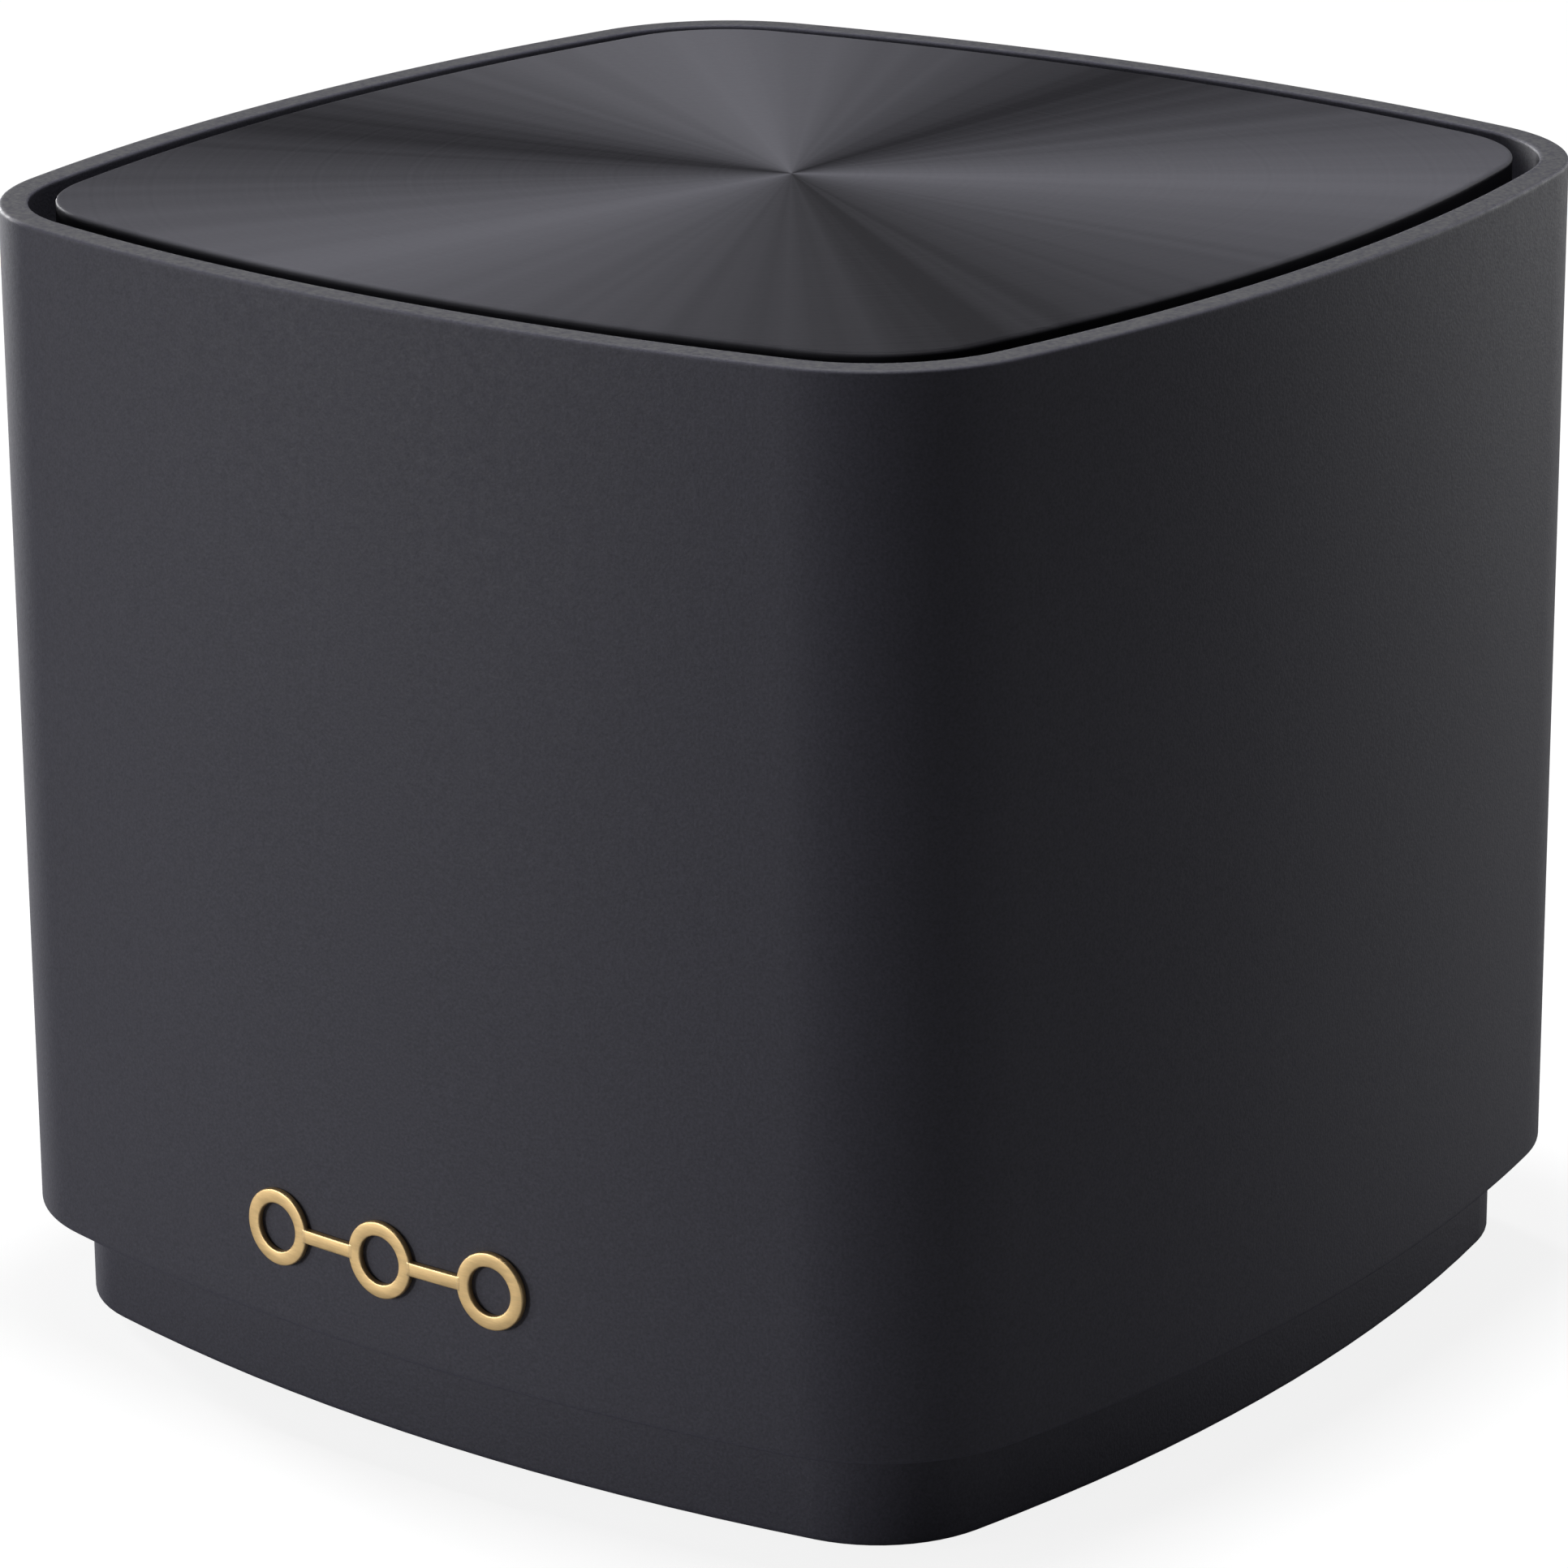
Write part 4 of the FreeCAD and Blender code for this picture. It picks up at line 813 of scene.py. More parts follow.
def rounded_rings(corners: Sequence[tuple[float, float, float]], steps: int = 4) -> list[Ring]:
    """Rings along a closed section whose corners are rounded.

    Each corner gets an arc, with a supporting ring just before and after it.

    Args:
        corners: inset, level and rounding radius of each corner.
        steps: how many spans each arc has.

    Returns:
        The rings, in order.
    """
    rings = []
    for i, (inset, level, radius) in enumerate(corners):
        here = Vector((inset, level))
        before = (Vector(corners[i - 1][:2]) - here).normalized()
        after = (Vector(corners[(i + 1) % len(corners)][:2]) - here).normalized()
        if radius <= 0:
            rings.append(Ring(inset, level))
            continue
        half_turn = before.angle(after) / 2
        reach = radius / math.tan(half_turn)
        centre = here + (before + after).normalized() * (radius / math.sin(half_turn))
        start, end = here + before * reach, here + after * reach
        support = radius * 0.6
        rings.append(Ring(*(start + before * support)))
        for step in range(steps + 1):
            spoke = (start - centre).slerp(end - centre, step / steps) * radius
            rings.append(Ring(*(centre + spoke)))
        rings.append(Ring(*(end + after * support)))
    return rings


class TowerForm(NodeForm):
    """Places rings of points on the tower's outline, by the rule of its arcs."""

    def __init__(self) -> None:
        """Build the tree."""
        super().__init__("tower_form", "Half", "Side", "Corner")
        graph = self.graph
        turn, inset, level, share = (self.attribute(n) for n in ("turn", "inset", "level", "share"))
        quarter = math.pi / 2
        nearest = (turn / quarter).via("ROUND") * quarter
        off = (turn - nearest).via("ABSOLUTE")
        reach = self.reach(off, inset) * share
        place = graph.vector(reach * turn.cosine(), reach * turn.sine(), level)
        self.close(self.moved(self.source.outputs[0], place))

    def attribute(self, name: str) -> Field:
        """A number stored on every point."""
        kind = "GeometryNodeInputNamedAttribute"
        return self.graph.number(self.graph.made(kind, {"Name": name}, data_type="FLOAT"))

    def reach(self, off: Field, inset: Field) -> Field:
        """The distance from the axis to the outline.

        Args:
            off: the angle from the middle of the nearest side.
            inset: how far the outline is drawn in.

        Returns:
            The distance, on the side's arc or on the corner's.
        """
        half, side, corner = self.given("Half"), self.given("Side"), self.given("Corner")
        far = side - half
        span = side - corner
        at = ((span * span * 2.0 - far * far).root() - far) * 0.5
        bulge, turned = side - inset, corner - inset
        on_side = (bulge * bulge - (far * off.sine()) ** 2.0).root() - far * off.cosine()
        diagonal = at * math.sqrt(2.0)
        slant = (off - math.pi / 4).via("ABSOLUTE")
        across = diagonal * slant.sine()
        on_corner = diagonal * slant.cosine() + (turned * turned - across * across).root()
        lean = at.via("ARCTAN2", at + far)
        edge = (bulge * lean.sine()).via("ARCTAN2", bulge * lean.cosine() - far)
        past = off.above(edge)
        return on_corner * past + on_side * (past * -1.0 + 1.0)


@dataclass
class TowerShell:
    """A shell whose rings all follow the tower's outline.

    Args:
        form: the tree that places the rings.
        outline: the tower's outline.
        columns: how many points each ring has.
    """

    form: TowerForm
    outline: Outline
    columns: int = 480

    def build(self, name: str, rings: Sequence[Ring], closed: bool, finish: Material) -> Any:
        """Make a shell.

        Args:
            name: the piece's name.
            rings: the rings, in order.
            closed: True for a tube, whose last ring joins the first; False for a shell that
                closes over the axis at both ends.
            finish: its material.

        Returns:
            The piece, with its faces outward.
        """
        count = self.columns
        faces = []
        spans = len(rings) if closed else len(rings) - 1
        for row in range(spans):
            a, b = row * count, (row + 1) % len(rings) * count
            for i in range(count):
                after = (i + 1) % count
                faces.append((a + i, a + after, b + after, b + i))
        turns = [i * 2 * math.pi / count for i in range(count)]
        stored = {
            "turn": turns * len(rings),
            "inset": [r.inset for r in rings for _ in turns],
            "level": [r.level for r in rings for _ in turns],
            "share": [r.share for r in rings for _ in turns],
        }
        points = [(0.0, 0.0, 0.0)] * (count * len(rings))
        if not closed:
            for row, ring in ((0, rings[0]), (len(rings) - 1, rings[-1])):
                tip = len(points)
                points.append((0.0, 0.0, 0.0))
                for key, values in stored.items():
                    values.append(ring.level if key == "level" else 0.0)
                start = row * count
                for i in range(count):
                    faces.append((start + i, start + (i + 1) % count, tip))
        obj = mesh_object(name, points, faces)
        for key, values in stored.items():
            layer = obj.data.attributes.new(key, "FLOAT", "POINT")
            layer.data.foreach_set("value", values)
        sizes = self.outline
        self.form.grow(obj, Half=sizes.half, Side=sizes.side, Corner=sizes.corner, Finish=finish)
        for key in stored:
            left = obj.data.attributes.get(key)
            if left is not None:
                obj.data.attributes.remove(left)
        return smooth(faced_outward(obj))


# ------------------------------------------------------------------ covers


@dataclass
class Sleeve:
    """The outer sleeve: four walls, a rim, a ledge for the lid's frame and the socket window.

    Args:
        shell: the builder of outline shells.
        wall: its thickness.
        ledge: how far the ledge stands in.
        ledge_drop: from the rim down to the ledge.
        ledge_thick: the thickness of the ledge.
        edge: rounding of the rim and of the lower edge.
        window_half: half the width of the window.
        window_low: the height of its lower edge.
        window_high: the height of its upper edge.
        window_round: the window's corner radius.
        window_steps: how many spans each of its corners has.
        rows: how many rows the outer wall has.
    """

    shell: TowerShell
    wall: float = 2.0 * MM
    ledge: float = 2.4 * MM
    ledge_drop: float = 6.0 * MM
    ledge_thick: float = 1.6 * MM
    edge: float = 0.22 * MM
    window_half: float = 28.0 * MM
    window_low: float = 10.9 * MM
    window_high: float = 28.1 * MM
    window_round: float = 2.0 * MM
    window_steps: int = 8
    rows: int = 16

    def build(self, palette: Palette) -> Object:
        """Build the sleeve and cut its window."""
        bottom, top = low("outer_sleeve").z, high("outer_sleeve").z
        ledge_top = top - self.ledge_drop
        ledge_low = ledge_top - self.ledge_thick
        inner = self.wall + self.ledge
        rings = rounded_rings(
            [
                (0.0, bottom, self.edge),
                (0.0, top, self.edge),
                (self.wall, top, self.edge * 0.7),
                (self.wall, ledge_top, 0.0),
                (inner, ledge_top, self.edge),
                (inner, ledge_low, self.edge),
                (self.wall, ledge_low, 0.0),
                (self.wall, bottom, self.edge * 0.5),
            ]
        )
        rings = self.with_rows(rings, bottom, top)
        piece = self.shell.build("sleeve", rings, True, palette["charcoal_plastic"])
        self.cut_window(piece)
        return seated(smooth(piece), "charcoal_plastic", "outer_sleeve")

    def with_rows(self, rings: list[Ring], bottom: float, top: float) -> list[Ring]:
        """Add rows to the outer wall, so that the window's cut has small faces round it."""
        start = next(i for i, r in enumerate(rings) if r.level > (bottom + top) / 2)
        first = rings[start - 1].level
        span = (rings[start].level - first) / self.rows
        extra = [Ring(0.0, first + span * (i + 1)) for i in range(self.rows - 1)]
        return rings[:start] + extra + rings[start:]

    def cut_window(self, piece: Object) -> None:
        """Cut the socket window through the rear wall."""
        steps, turn = self.window_steps, self.window_round
        middles = [
            (self.window_half - turn, self.window_low + turn, -90),
            (self.window_half - turn, self.window_high - turn, 0),
            (turn - self.window_half, self.window_high - turn, 90),
            (turn - self.window_half, self.window_low + turn, 180),
        ]
        corner = []
        for x, z, start in middles:
            for step in range(steps + 1):
                angle = math.radians(start + 90 * step / steps)
                corner.append((x + turn * math.cos(angle), z + turn * math.sin(angle)))
        wall = self.shell.outline.half
        near, far = wall * 0.8, wall * 1.2
        points = [(x, y, z) for y in (near, far) for x, z in corner]
        count = len(corner)
        faces = [tuple(range(count)), tuple(reversed(range(count, 2 * count)))]
        faces += [(i, i + count, (i + 1) % count + count, (i + 1) % count) for i in range(count)]
        cutter = faced_outward(mesh_object("window_cutter", points, faces))
        cut = piece.modifiers.new("window", "BOOLEAN")
        cut.operation = "DIFFERENCE"
        cut.solver = "EXACT"
        cut.object = cutter
        settle(piece)
        bpy.data.objects.remove(cutter)


@dataclass
class Lid:
    """The floating lid: a flat spun plate with a short edge.

    Args:
        shell: the builder of outline shells.
        sleeve: the sleeve that it floats in.
        gap: the open ring between the rim and the lid.
        wall: the thickness of the lid's edge.
        plate: the thickness of the lid's top.
        skirt: the height of the lid's edge.
        edge: rounding of its upper edge.
        post: the radius of a post.
        bore: the radius of the hole in a post.
        shares: the rings that close the lid's top over the axis, as shares of its outline.
    """

    shell: TowerShell
    sleeve: Sleeve
    gap: float = 1.85 * MM
    wall: float = 1.2 * MM
    plate: float = 1.8 * MM
    skirt: float = 3.5 * MM
    edge: float = 0.25 * MM
    post: float = 2.5 * MM
    bore: float = 1.05 * MM
    shares: tuple[float, ...] = (0.96, 0.85, 0.7, 0.5, 0.3, 0.1)

    def build(self, palette: Palette) -> list[Object]:
        """Build the lid and its posts."""
        inset = self.sleeve.wall + self.gap
        top = high("top_lid").z
        under, bottom = top - self.plate, top - self.skirt
        inner = inset + self.wall
        section = rounded_rings(
            [
                (inner, under, 0.0),
                (inner, bottom, self.edge * 0.4),
                (inset, bottom, self.edge * 0.6),
                (inset, top, self.edge),
                (inner, top, 0.0),
            ]
        )
        start = next(i for i, ring in enumerate(section) if ring == Ring(inner, under))
        section = section[start:] + section[:start]
        lower = [Ring(inner, under, share) for share in reversed(self.shares)]
        upper = [Ring(inner, top, share) for share in self.shares]
        rings = lower + section + upper
        piece = self.shell.build("lid", rings, False, palette["lid_plastic"])
        posts = self.posts(under, palette)
        return [seated(piece, "lid_plastic", "top_lid"), posts]

    def posts(self, under: float, palette: Palette) -> Object:
        """The four posts that carry the lid."""
        spots = [(x, y, 0.0) for x, y in four_corners(high("lid_screws").x - SMALL_HEAD)]
        piece = mesh_object("lid_posts", spots, [])
        PostForm().grow(
            piece,
            Radius=self.post,
            Bore=self.bore,
            Low=low("top_lid").z,
            High=under,
            Finish=palette["lid_plastic"],
        )
        return seated(smooth(faced_outward(piece)), "lid_plastic")


class PostForm(NodeForm):
    """Hollow upright posts on points."""

    def __init__(self) -> None:
        """Build the tree."""
        super().__init__("post_form", "Radius", "Bore", "Low", "High")
        graph = self.graph
        tall = self.given("High") - self.given("Low")
        middle = self.given("Low") + tall * 0.5
        wall = self.given("Radius") - self.given("Bore")
        path = self.circle(self.given("Bore") + wall * 0.5, 32)
        tube = graph.made(
            "GeometryNodeCurveToMesh", {0: path, "Profile Curve": self.oblong(wall, tall)}
        )
        self.close(self.placed(self.source.outputs[0], self.lifted(tube, middle)))


# ------------------------------------------------------------------ badge


class BadgeForm(NodeForm):
    """Linked rings in raised metal, laid on the bulge of the front."""

    def __init__(self) -> None:
        """Build the tree."""
        super().__init__("badge_form", "Pitch", "Ring", "Bar", "Thick", "Level", "Front", "Side")
        graph = self.graph
        bar, thick, pitch = self.given("Bar"), self.given("Thick"), self.given("Pitch")
        corners = {"Curve": self.oblong(bar, thick), "Radius": thick * 0.22, "Count": 4}
        section = graph.made("GeometryNodeFilletCurve", corners, mode="POLY")
        middle = self.given("Ring") - bar * 0.5
        ring = self.swept(self.circle(middle, 72), section)
        start, end = middle + bar * 0.25, pitch - middle - bar * 0.25
        ends = {"Start": graph.vector(start), "End": graph.vector(end)}
        line = graph.made("GeometryNodeCurvePrimitiveLine", ends)
        fine = graph.made("GeometryNodeResampleCurve", {"Curve": line, "Count": 12})
        rings, links = self.row(ring, 3, pitch), self.row(self.swept(fine, section), 2, pitch)
        real = graph.made("GeometryNodeRealizeInstances", {0: self.joined(rings, links)})
        self.close(self.wrapped(real))

    def swept(self, path: Any, section: Any) -> NodeSocket:
        """A section swept along a path, with its ends closed."""
        inputs = {0: path, "Profile Curve": section, "Fill Caps": True}
        return self.graph.made("GeometryNodeCurveToMesh", inputs)

    def row(self, piece: Any, count: int, pitch: Field) -> NodeSocket:
        """Copies of a piece in a row along X, from the first ring's place."""
        start, offset = self.graph.vector(pitch * -1.0), self.graph.vector(pitch)
        inputs = {"Count": count, "Start Location": start, "Offset": offset}
        return self.placed(self.graph.made("GeometryNodeMeshLine", inputs), piece)

    def wrapped(self, geometry: Any) -> NodeSocket:
        """Stand the flat badge up and lay it on the front's bulge."""
        across, up, out = self.position()
        side = self.given("Side")
        sag = side - (side * side - across * across).root()
        depth = sag - self.given("Front") - out - self.given("Thick") * 0.5
        return self.moved(geometry, self.graph.vector(across, depth, up + self.given("Level")))


@dataclass
class Badge:
    """The front badge: three linked rings.

    Args:
        outline: the tower's outline.
        pitch: the spacing of the rings.
        ring: the outer radius of a ring.
        bar: the width of the lines.
        proud: how far it stands out.
    """

    outline: Outline
    pitch: float = 9.3 * MM
    ring: float = 2.7 * MM
    bar: float = 1.0 * MM
    proud: float = 0.45 * MM

    def build(self, palette: Palette) -> Object:
        """Build the badge."""
        piece = mesh_object("badge", [(0.0, 0.0, 0.0)], [])
        level = (low("front_badge").z + high("front_badge").z) / 2
        BadgeForm().grow(
            piece,
            Pitch=self.pitch,
            Ring=self.ring,
            Bar=self.bar,
            Thick=self.proud,
            Level=level,
            Front=self.outline.half,
            Side=self.outline.side,
            Finish=palette["badge_gold"],
        )
        return seated(smooth(faced_outward(piece), 40.0), "badge_gold", "front_badge")


# ------------------------------------------------------------------ fasteners


class Facing(Enum):
    """Which way a screw's head faces."""

    UP = 0.0
    DOWN = math.pi


class ScrewForm(NodeForm):
    """Screws on points: a domed head with a cross recess, and a threaded shank.

    RECESS is the length and width of an arm of the recess, as shares of the head's radius, and
    ROOT_SHARE is how far in the thread's root is, as a share of the shank's radius.
    """

    RECESS = (1.1, 0.26)
    ROOT_SHARE = 0.82

    def __init__(self) -> None:
        """Build the tree."""
        super().__init__("screw_form", "Head", "Tall", "Shank", "Length", "Thread", "Turn")
        graph = self.graph
        head, tall, shank, long = (self.given(n) for n in ("Head", "Tall", "Shank", "Length"))
        domed = self.domed(self.cylinder(head, tall, 40, 6, 5), head, tall)
        carved = graph.add(
            "GeometryNodeMeshBoolean", {"Mesh 1": domed}, operation="DIFFERENCE", solver="EXACT"
        )
        for width, depth in (self.RECESS, self.RECESS[::-1]):
            graph.tree.links.new(self.arm(head, tall, width, depth), carved.inputs["Mesh 2"])
        threaded = self.threaded(self.cylinder(shank, long, 20, 72, 1))
        screw = self.joined(carved.outputs[0], self.lifted(threaded, long * -0.5))
        turn = graph.vector(self.given("Turn"))
        self.close(self.placed(self.source.outputs[0], screw, Rotation=turn))

    def cylinder(self, radius: Field, depth: Field, *counts: int) -> NodeSocket:
        """An upright cylinder round the origin.

        Args:
            radius: its radius.
            depth: its height.
            counts: how many vertices, rows on the side and rings on each end it has.

        Returns:
            The mesh.
        """
        names = ("Vertices", "Side Segments", "Fill Segments")
        inputs = {**dict(zip(names, counts)), "Radius": radius, "Depth": depth}
        return self.graph.made("GeometryNodeMeshCylinder", inputs)

    def domed(self, geometry: Any, head: Field, tall: Field) -> NodeSocket:
        """Round the head's shoulder, and stand it on its seat."""
        x, y, z = self.position()
        share = z / tall + 0.5
        pull = share**3.0 * -0.22 + 1.0
        out = (x * x + y * y).root() / head
        height = (share - out * out * share * 0.25) * tall
        return self.moved(geometry, self.graph.vector(x * pull, y * pull, height))

    def arm(self, head: Field, tall: Field, width: float, depth: float) -> NodeSocket:
        """One arm of the cross recess."""
        size = self.graph.vector(head * width, head * depth, tall)
        return self.lifted(self.graph.made("GeometryNodeMeshCube", {"Size": size}), tall * 0.95)

    def threaded(self, geometry: Any) -> NodeSocket:
        """Draw the shank's wall in between the turns of its thread."""
        x, y, z = self.position()
        angle = y.via("ARCTAN2", x)
        wave = (z / self.given("Thread") * (2 * math.pi) + angle).sine()
        pull = wave.mapped((-0.6, 0.6), (self.ROOT_SHARE, 1.0))
        return self.moved(geometry, self.graph.vector(x * pull, y * pull, z))


@dataclass
class ScrewSet:
    """Identical screws that stand for one CAD node.

    Args:
        node: the CAD node.
        head: the head's radius.
        tall: the head's height.
        shank: the shank's radius.
        facing: which way the heads face.
        spots: where they stand; the four corners of the node's box if it is empty.
        thread: the pitch of the thread.
    """

    node: str
    head: float
    tall: float
    shank: float
    facing: Facing
    spots: tuple[tuple[float, float], ...] = ()
    thread: float = 0.6 * MM

    def build(self, form: ScrewForm, palette: Palette) -> Object:
        """Build the screws."""
        bottom, top = low(self.node), high(self.node)
        spots = self.spots or four_corners(top.x - self.head)
        down = self.facing is Facing.DOWN
        seat = bottom.z + self.tall if down else top.z - self.tall
        length = top.z - bottom.z - self.tall
        piece = mesh_object(self.node + "_made", [(x, y, seat) for x, y in spots], [])
        form.grow(
            piece,
            Head=self.head,
            Tall=self.tall,
            Shank=self.shank,
            Length=length,
            Thread=self.thread,
            Turn=self.facing.value,
            Finish=palette["screw_steel"],
        )
        return seated(smooth(faced_outward(piece)), "screw_steel", self.node)


# ------------------------------------------------------------------ board parts


class ScatterForm(NodeForm):
    """Small parts scattered over a patch of board, square to its edges."""

    def __init__(self) -> None:
        """Build the tree."""
        super().__init__("scatter_form", "Spacing", "Part")
        graph = self.graph
        spread = graph.made(
            "GeometryNodeDistributePointsOnFaces",
            {
                "Mesh": self.source.outputs[0],
                "Density Max": 3e5,
                "Seed": 7,
                "Distance Min": self.given("Spacing"),
            },
            distribute_method="POISSON",
        )
        part = self.given("Part")
        block = graph.made("GeometryNodeMeshCube", {"Size": graph.vector(part, part * 0.5, part * 0.45)})
        quarter = graph.add("FunctionNodeRandomValue", {"Min": 0, "Max": 1, "Seed": 3}, data_type="INT")
        tilt = graph.vector(z=graph.number(quarter.outputs[2]) * (math.pi / 2))
        grade = graph.add("FunctionNodeRandomValue", {2: 0.7, 3: 1.2, "Seed": 5}, data_type="FLOAT")
        self.close(self.placed(spread, block, Rotation=tilt, Scale=grade.outputs[1]))


@dataclass
class BoardParts:
    """Small parts on the board's underside, seen through the base's air slots.

    Args:
        half: half the width of the patch.
        near: its front edge.
        far: its rear edge.
        spacing: the least distance between parts.
        part: the length of a part.
    """

    half: float = 17.0 * MM
    near: float = -24.0 * MM
    far: float = 16.0 * MM
    spacing: float = 2.4 * MM
    part: float = 1.6 * MM

    def build(self, palette: Palette) -> Object:
        """Scatter the parts."""
        level = low("main_board").z
        x, near, far = self.half, self.near, self.far
        patch = [(-x, near, level), (-x, far, level), (x, far, level), (x, near, level)]
        piece = mesh_object("board_parts", patch, [(0, 1, 2, 3)])
        finish = palette["chip_epoxy"]
        ScatterForm().grow(piece, Spacing=self.spacing, Part=self.part, Finish=finish)
        return seated(faced_outward(piece), "chip_epoxy")


# ------------------------------------------------------------------ studio


@dataclass
class SoftBox:
    """A large soft lamp.

    Args:
        name: its name.
        azimuth: where it stands, in degrees from the front towards +X.
        elevation: how high it stands, in degrees.
        distance: how far it is from the node.
        width: its width.
        height: its height.
        power: its power in watts.
    """

    name: str
    azimuth: float
    elevation: float
    distance: float
    width: float
    height: float
    power: float

    def build(self, target: Vector) -> Object:
        """Stand the lamp, pointed at the node."""
        lamp = bpy.data.lights.new(self.name, "AREA")
        lamp.shape = "RECTANGLE"
        lamp.size, lamp.size_y, lamp.energy = self.width, self.height, self.power
        obj = bpy.data.objects.new(self.name, lamp)
        away = heading(self.azimuth, self.elevation)
        obj.location = target + away * self.distance
        obj.rotation_euler = away.to_track_quat("Z", "Y").to_euler()
        bpy.context.scene.collection.objects.link(obj)
        return obj


@dataclass
class Studio:
    """A pale floor, a white surround and soft lamps.

    Args:
        surround: the light that comes from all round.
        gloss: how bright the surround is in reflections.
        floor_reach: half the width of the floor.
        floor_colour: the floor's own colour.
        floor_lift: light that the floor shows to the camera on top of what falls on it.
        lamps: the lamps.
    """

    surround: float = 0.03
    gloss: float = 0.05
    floor_reach: float = 3.0
    floor_colour: Colour = (0.30, 0.30, 0.30)
    floor_lift: float = 0.86
    lamps: tuple[SoftBox, ...] = (
        SoftBox("key", -34.0, 4.0, 1.5, 0.32, 0.3, 7.7),
        SoftBox("fill", -55.0, 6.0, 1.5, 0.32, 0.3, 3.0),
        SoftBox("top", 0.0, 89.0, 0.45, 0.08, 0.08, 1.6),
        SoftBox("side_left", -108.0, 5.0, 1.3, 0.2, 0.25, 16.0),
        SoftBox("right", 95.0, 4.0, 1.5, 0.4, 0.3, 0.65),
        SoftBox("rear_right", 132.0, 2.0, 1.3, 0.25, 0.15, 0.5),
        SoftBox("edge_right", 170.0, 2.0, 1.3, 0.25, 0.15, 4.6),
    )

    def build(self) -> None:
        """Build the floor, the surround and the lamps."""
        self.floor()
        self.world()
        target = Vector((0.0, 0.0, high("outer_sleeve").z / 2))
        for lamp in self.lamps:
            lamp.build(target)
        bpy.context.scene.view_settings.view_transform = "Standard"

    def floor(self) -> None:
        """A pale floor that keeps the node's shadow."""
        reach = self.floor_reach
        signs = ((-1, -1), (1, -1), (1, 1), (-1, 1))
        corners = [(x * reach, y * reach, 0.0) for x, y in signs]
        floor = mesh_object("floor", corners, [(0, 1, 2, 3)])
        made = bpy.data.materials.new("floor_finish")
        graph = Graph.fresh(made)
        place = graph.add("ShaderNodeTexCoord").outputs["Object"]
        grain = graph.noise(place, 0.004, 3.0).mapped((0.3, 0.7), (0.0, 1.0))
        colour = graph.blend(grain, self.floor_colour, scaled(self.floor_colour, 1.02))
        matte = graph.add("ShaderNodeBsdfDiffuse", {"Color": colour})
        seen = graph.number(graph.add("ShaderNodeLightPath").outputs["Is Camera Ray"])
        lift = graph.add("ShaderNodeEmission", {"Strength": seen * self.floor_lift})
        both = graph.add("ShaderNodeAddShader", {0: matte.outputs[0], 1: lift.outputs[0]})
        graph.add("ShaderNodeOutputMaterial", {"Surface": both.outputs[0]})
        floor.data.materials.append(made)

    def world(self) -> None:
        """White to the camera and to transmission, a little brighter in gloss, and softer for the light that
        it gives.
        """
        world = bpy.data.worlds.new("surround")
        bpy.context.scene.world = world
        graph = Graph.fresh(world)
        path = graph.add("ShaderNodeLightPath")
        seen = graph.number(path.outputs["Is Camera Ray"]).via("MAXIMUM", path.outputs["Is Transmission Ray"])
        shine = graph.number(path.outputs["Is Glossy Ray"]) * (self.gloss - self.surround)
        strength = (shine + self.surround).via("MAXIMUM", seen)
        shader = graph.add("ShaderNodeBackground", {"Color": (1.0, 1.0, 1.0, 1.0), "Strength": strength})
        graph.add("ShaderNodeOutputWorld", {"Surface": shader.outputs[0]})


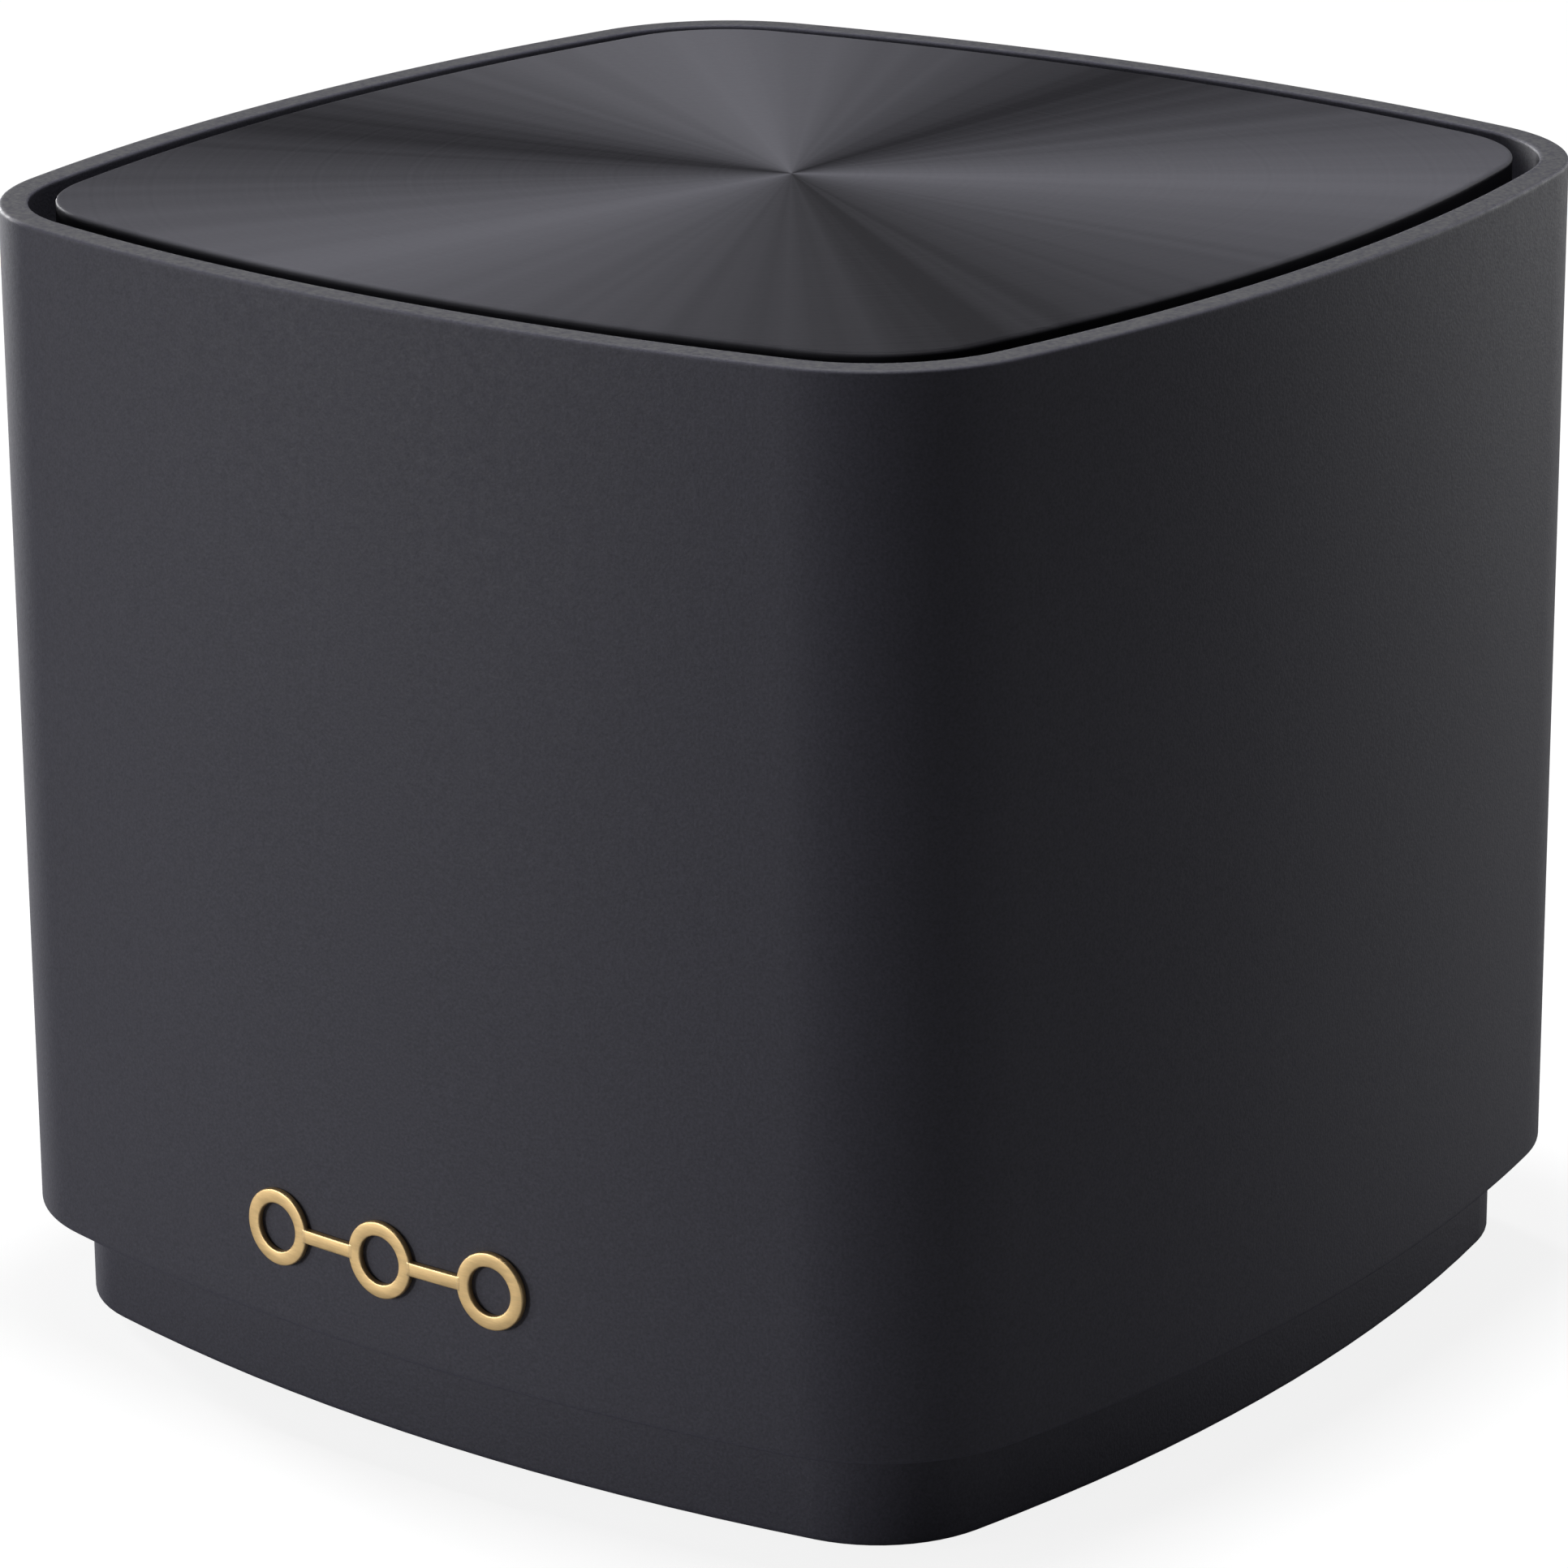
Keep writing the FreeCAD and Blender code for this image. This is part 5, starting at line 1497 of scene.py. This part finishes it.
@dataclass
class Viewpoint:
    """The camera: from the front right, a little above.

    Args:
        azimuth: degrees from the front towards +X.
        elevation: degrees above level.
        roll: degrees that the view is turned.
        distance: from the point that it looks at.
        lens: focal length in millimetres, on a 36 mm sensor.
        shift: how far the frame is moved over, as a share of its width.
        target: the point that it looks at.
    """

    azimuth: float = 38.21
    elevation: float = 17.70
    roll: float = -0.53
    distance: float = 447.29 * MM
    lens: float = 146.4
    shift: tuple[float, float] = (0.0318, -0.0362)
    target: Point = (-2.96 * MM, -3.14 * MM, 40.6 * MM)

    def build(self) -> None:
        """Stand the camera."""
        turn, roll = math.radians(self.azimuth), math.radians(self.roll)
        back = heading(self.azimuth, self.elevation)
        level = Vector((math.cos(turn), math.sin(turn), 0.0))
        up = back.cross(level)
        across = level * math.cos(roll) + up * math.sin(roll)
        upright = up * math.cos(roll) - level * math.sin(roll)
        data = bpy.data.cameras.new("camera")
        data.sensor_width, data.lens = 36.0, self.lens
        data.shift_x, data.shift_y = self.shift
        data.clip_start, data.clip_end = 0.01, 20.0
        camera = bpy.data.objects.new("camera", data)
        place = Vector(self.target) + back * self.distance
        axes = Matrix((across, upright, back)).transposed().to_4x4()
        camera.matrix_world = Matrix.Translation(place) @ axes
        bpy.context.scene.collection.objects.link(camera)
        bpy.context.scene.camera = camera


# ------------------------------------------------------------------ the whole node


def screw_sets() -> list[ScrewSet]:
    """Every set of screws, with sizes in step with the CAD nodes."""
    leg_x = high("heatsink_screws").x - SMALL_HEAD
    leg_y = low("heatsink_screws").y + SMALL_HEAD
    rear = high("heatsink_screws").y - SMALL_HEAD
    legs = ((leg_x, leg_y), (-leg_x, leg_y), (0.0, rear))
    small = {"head": SMALL_HEAD, "tall": 1.3 * MM, "shank": 1.0 * MM}
    return [
        ScrewSet("base_screws", 2.3 * MM, 1.6 * MM, 1.25 * MM, Facing.DOWN),
        ScrewSet("carrier_screws", facing=Facing.UP, **small),
        ScrewSet("lid_screws", facing=Facing.DOWN, **small),
        ScrewSet("heatsink_screws", facing=Facing.DOWN, spots=legs, **small),
    ]


def main() -> None:
    """Dress the CAD nodes, build the fine pieces, and set up the studio and the camera."""
    logging.basicConfig(level=logging.INFO, format="%(message)s")
    palette = Palette(FINISHES)
    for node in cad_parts.values():
        palette.dress(node)
    outline = Outline()
    shell = TowerShell(TowerForm(), outline)
    sleeve = Sleeve(shell)
    sleeve.build(palette)
    Lid(shell, sleeve).build(palette)
    Badge(outline).build(palette)
    screws = ScrewForm()
    for screw_set in screw_sets():
        screw_set.build(screws, palette)
    BoardParts().build(palette)
    Studio().build()
    Viewpoint().build()


if __name__ == "__main__":
    main()
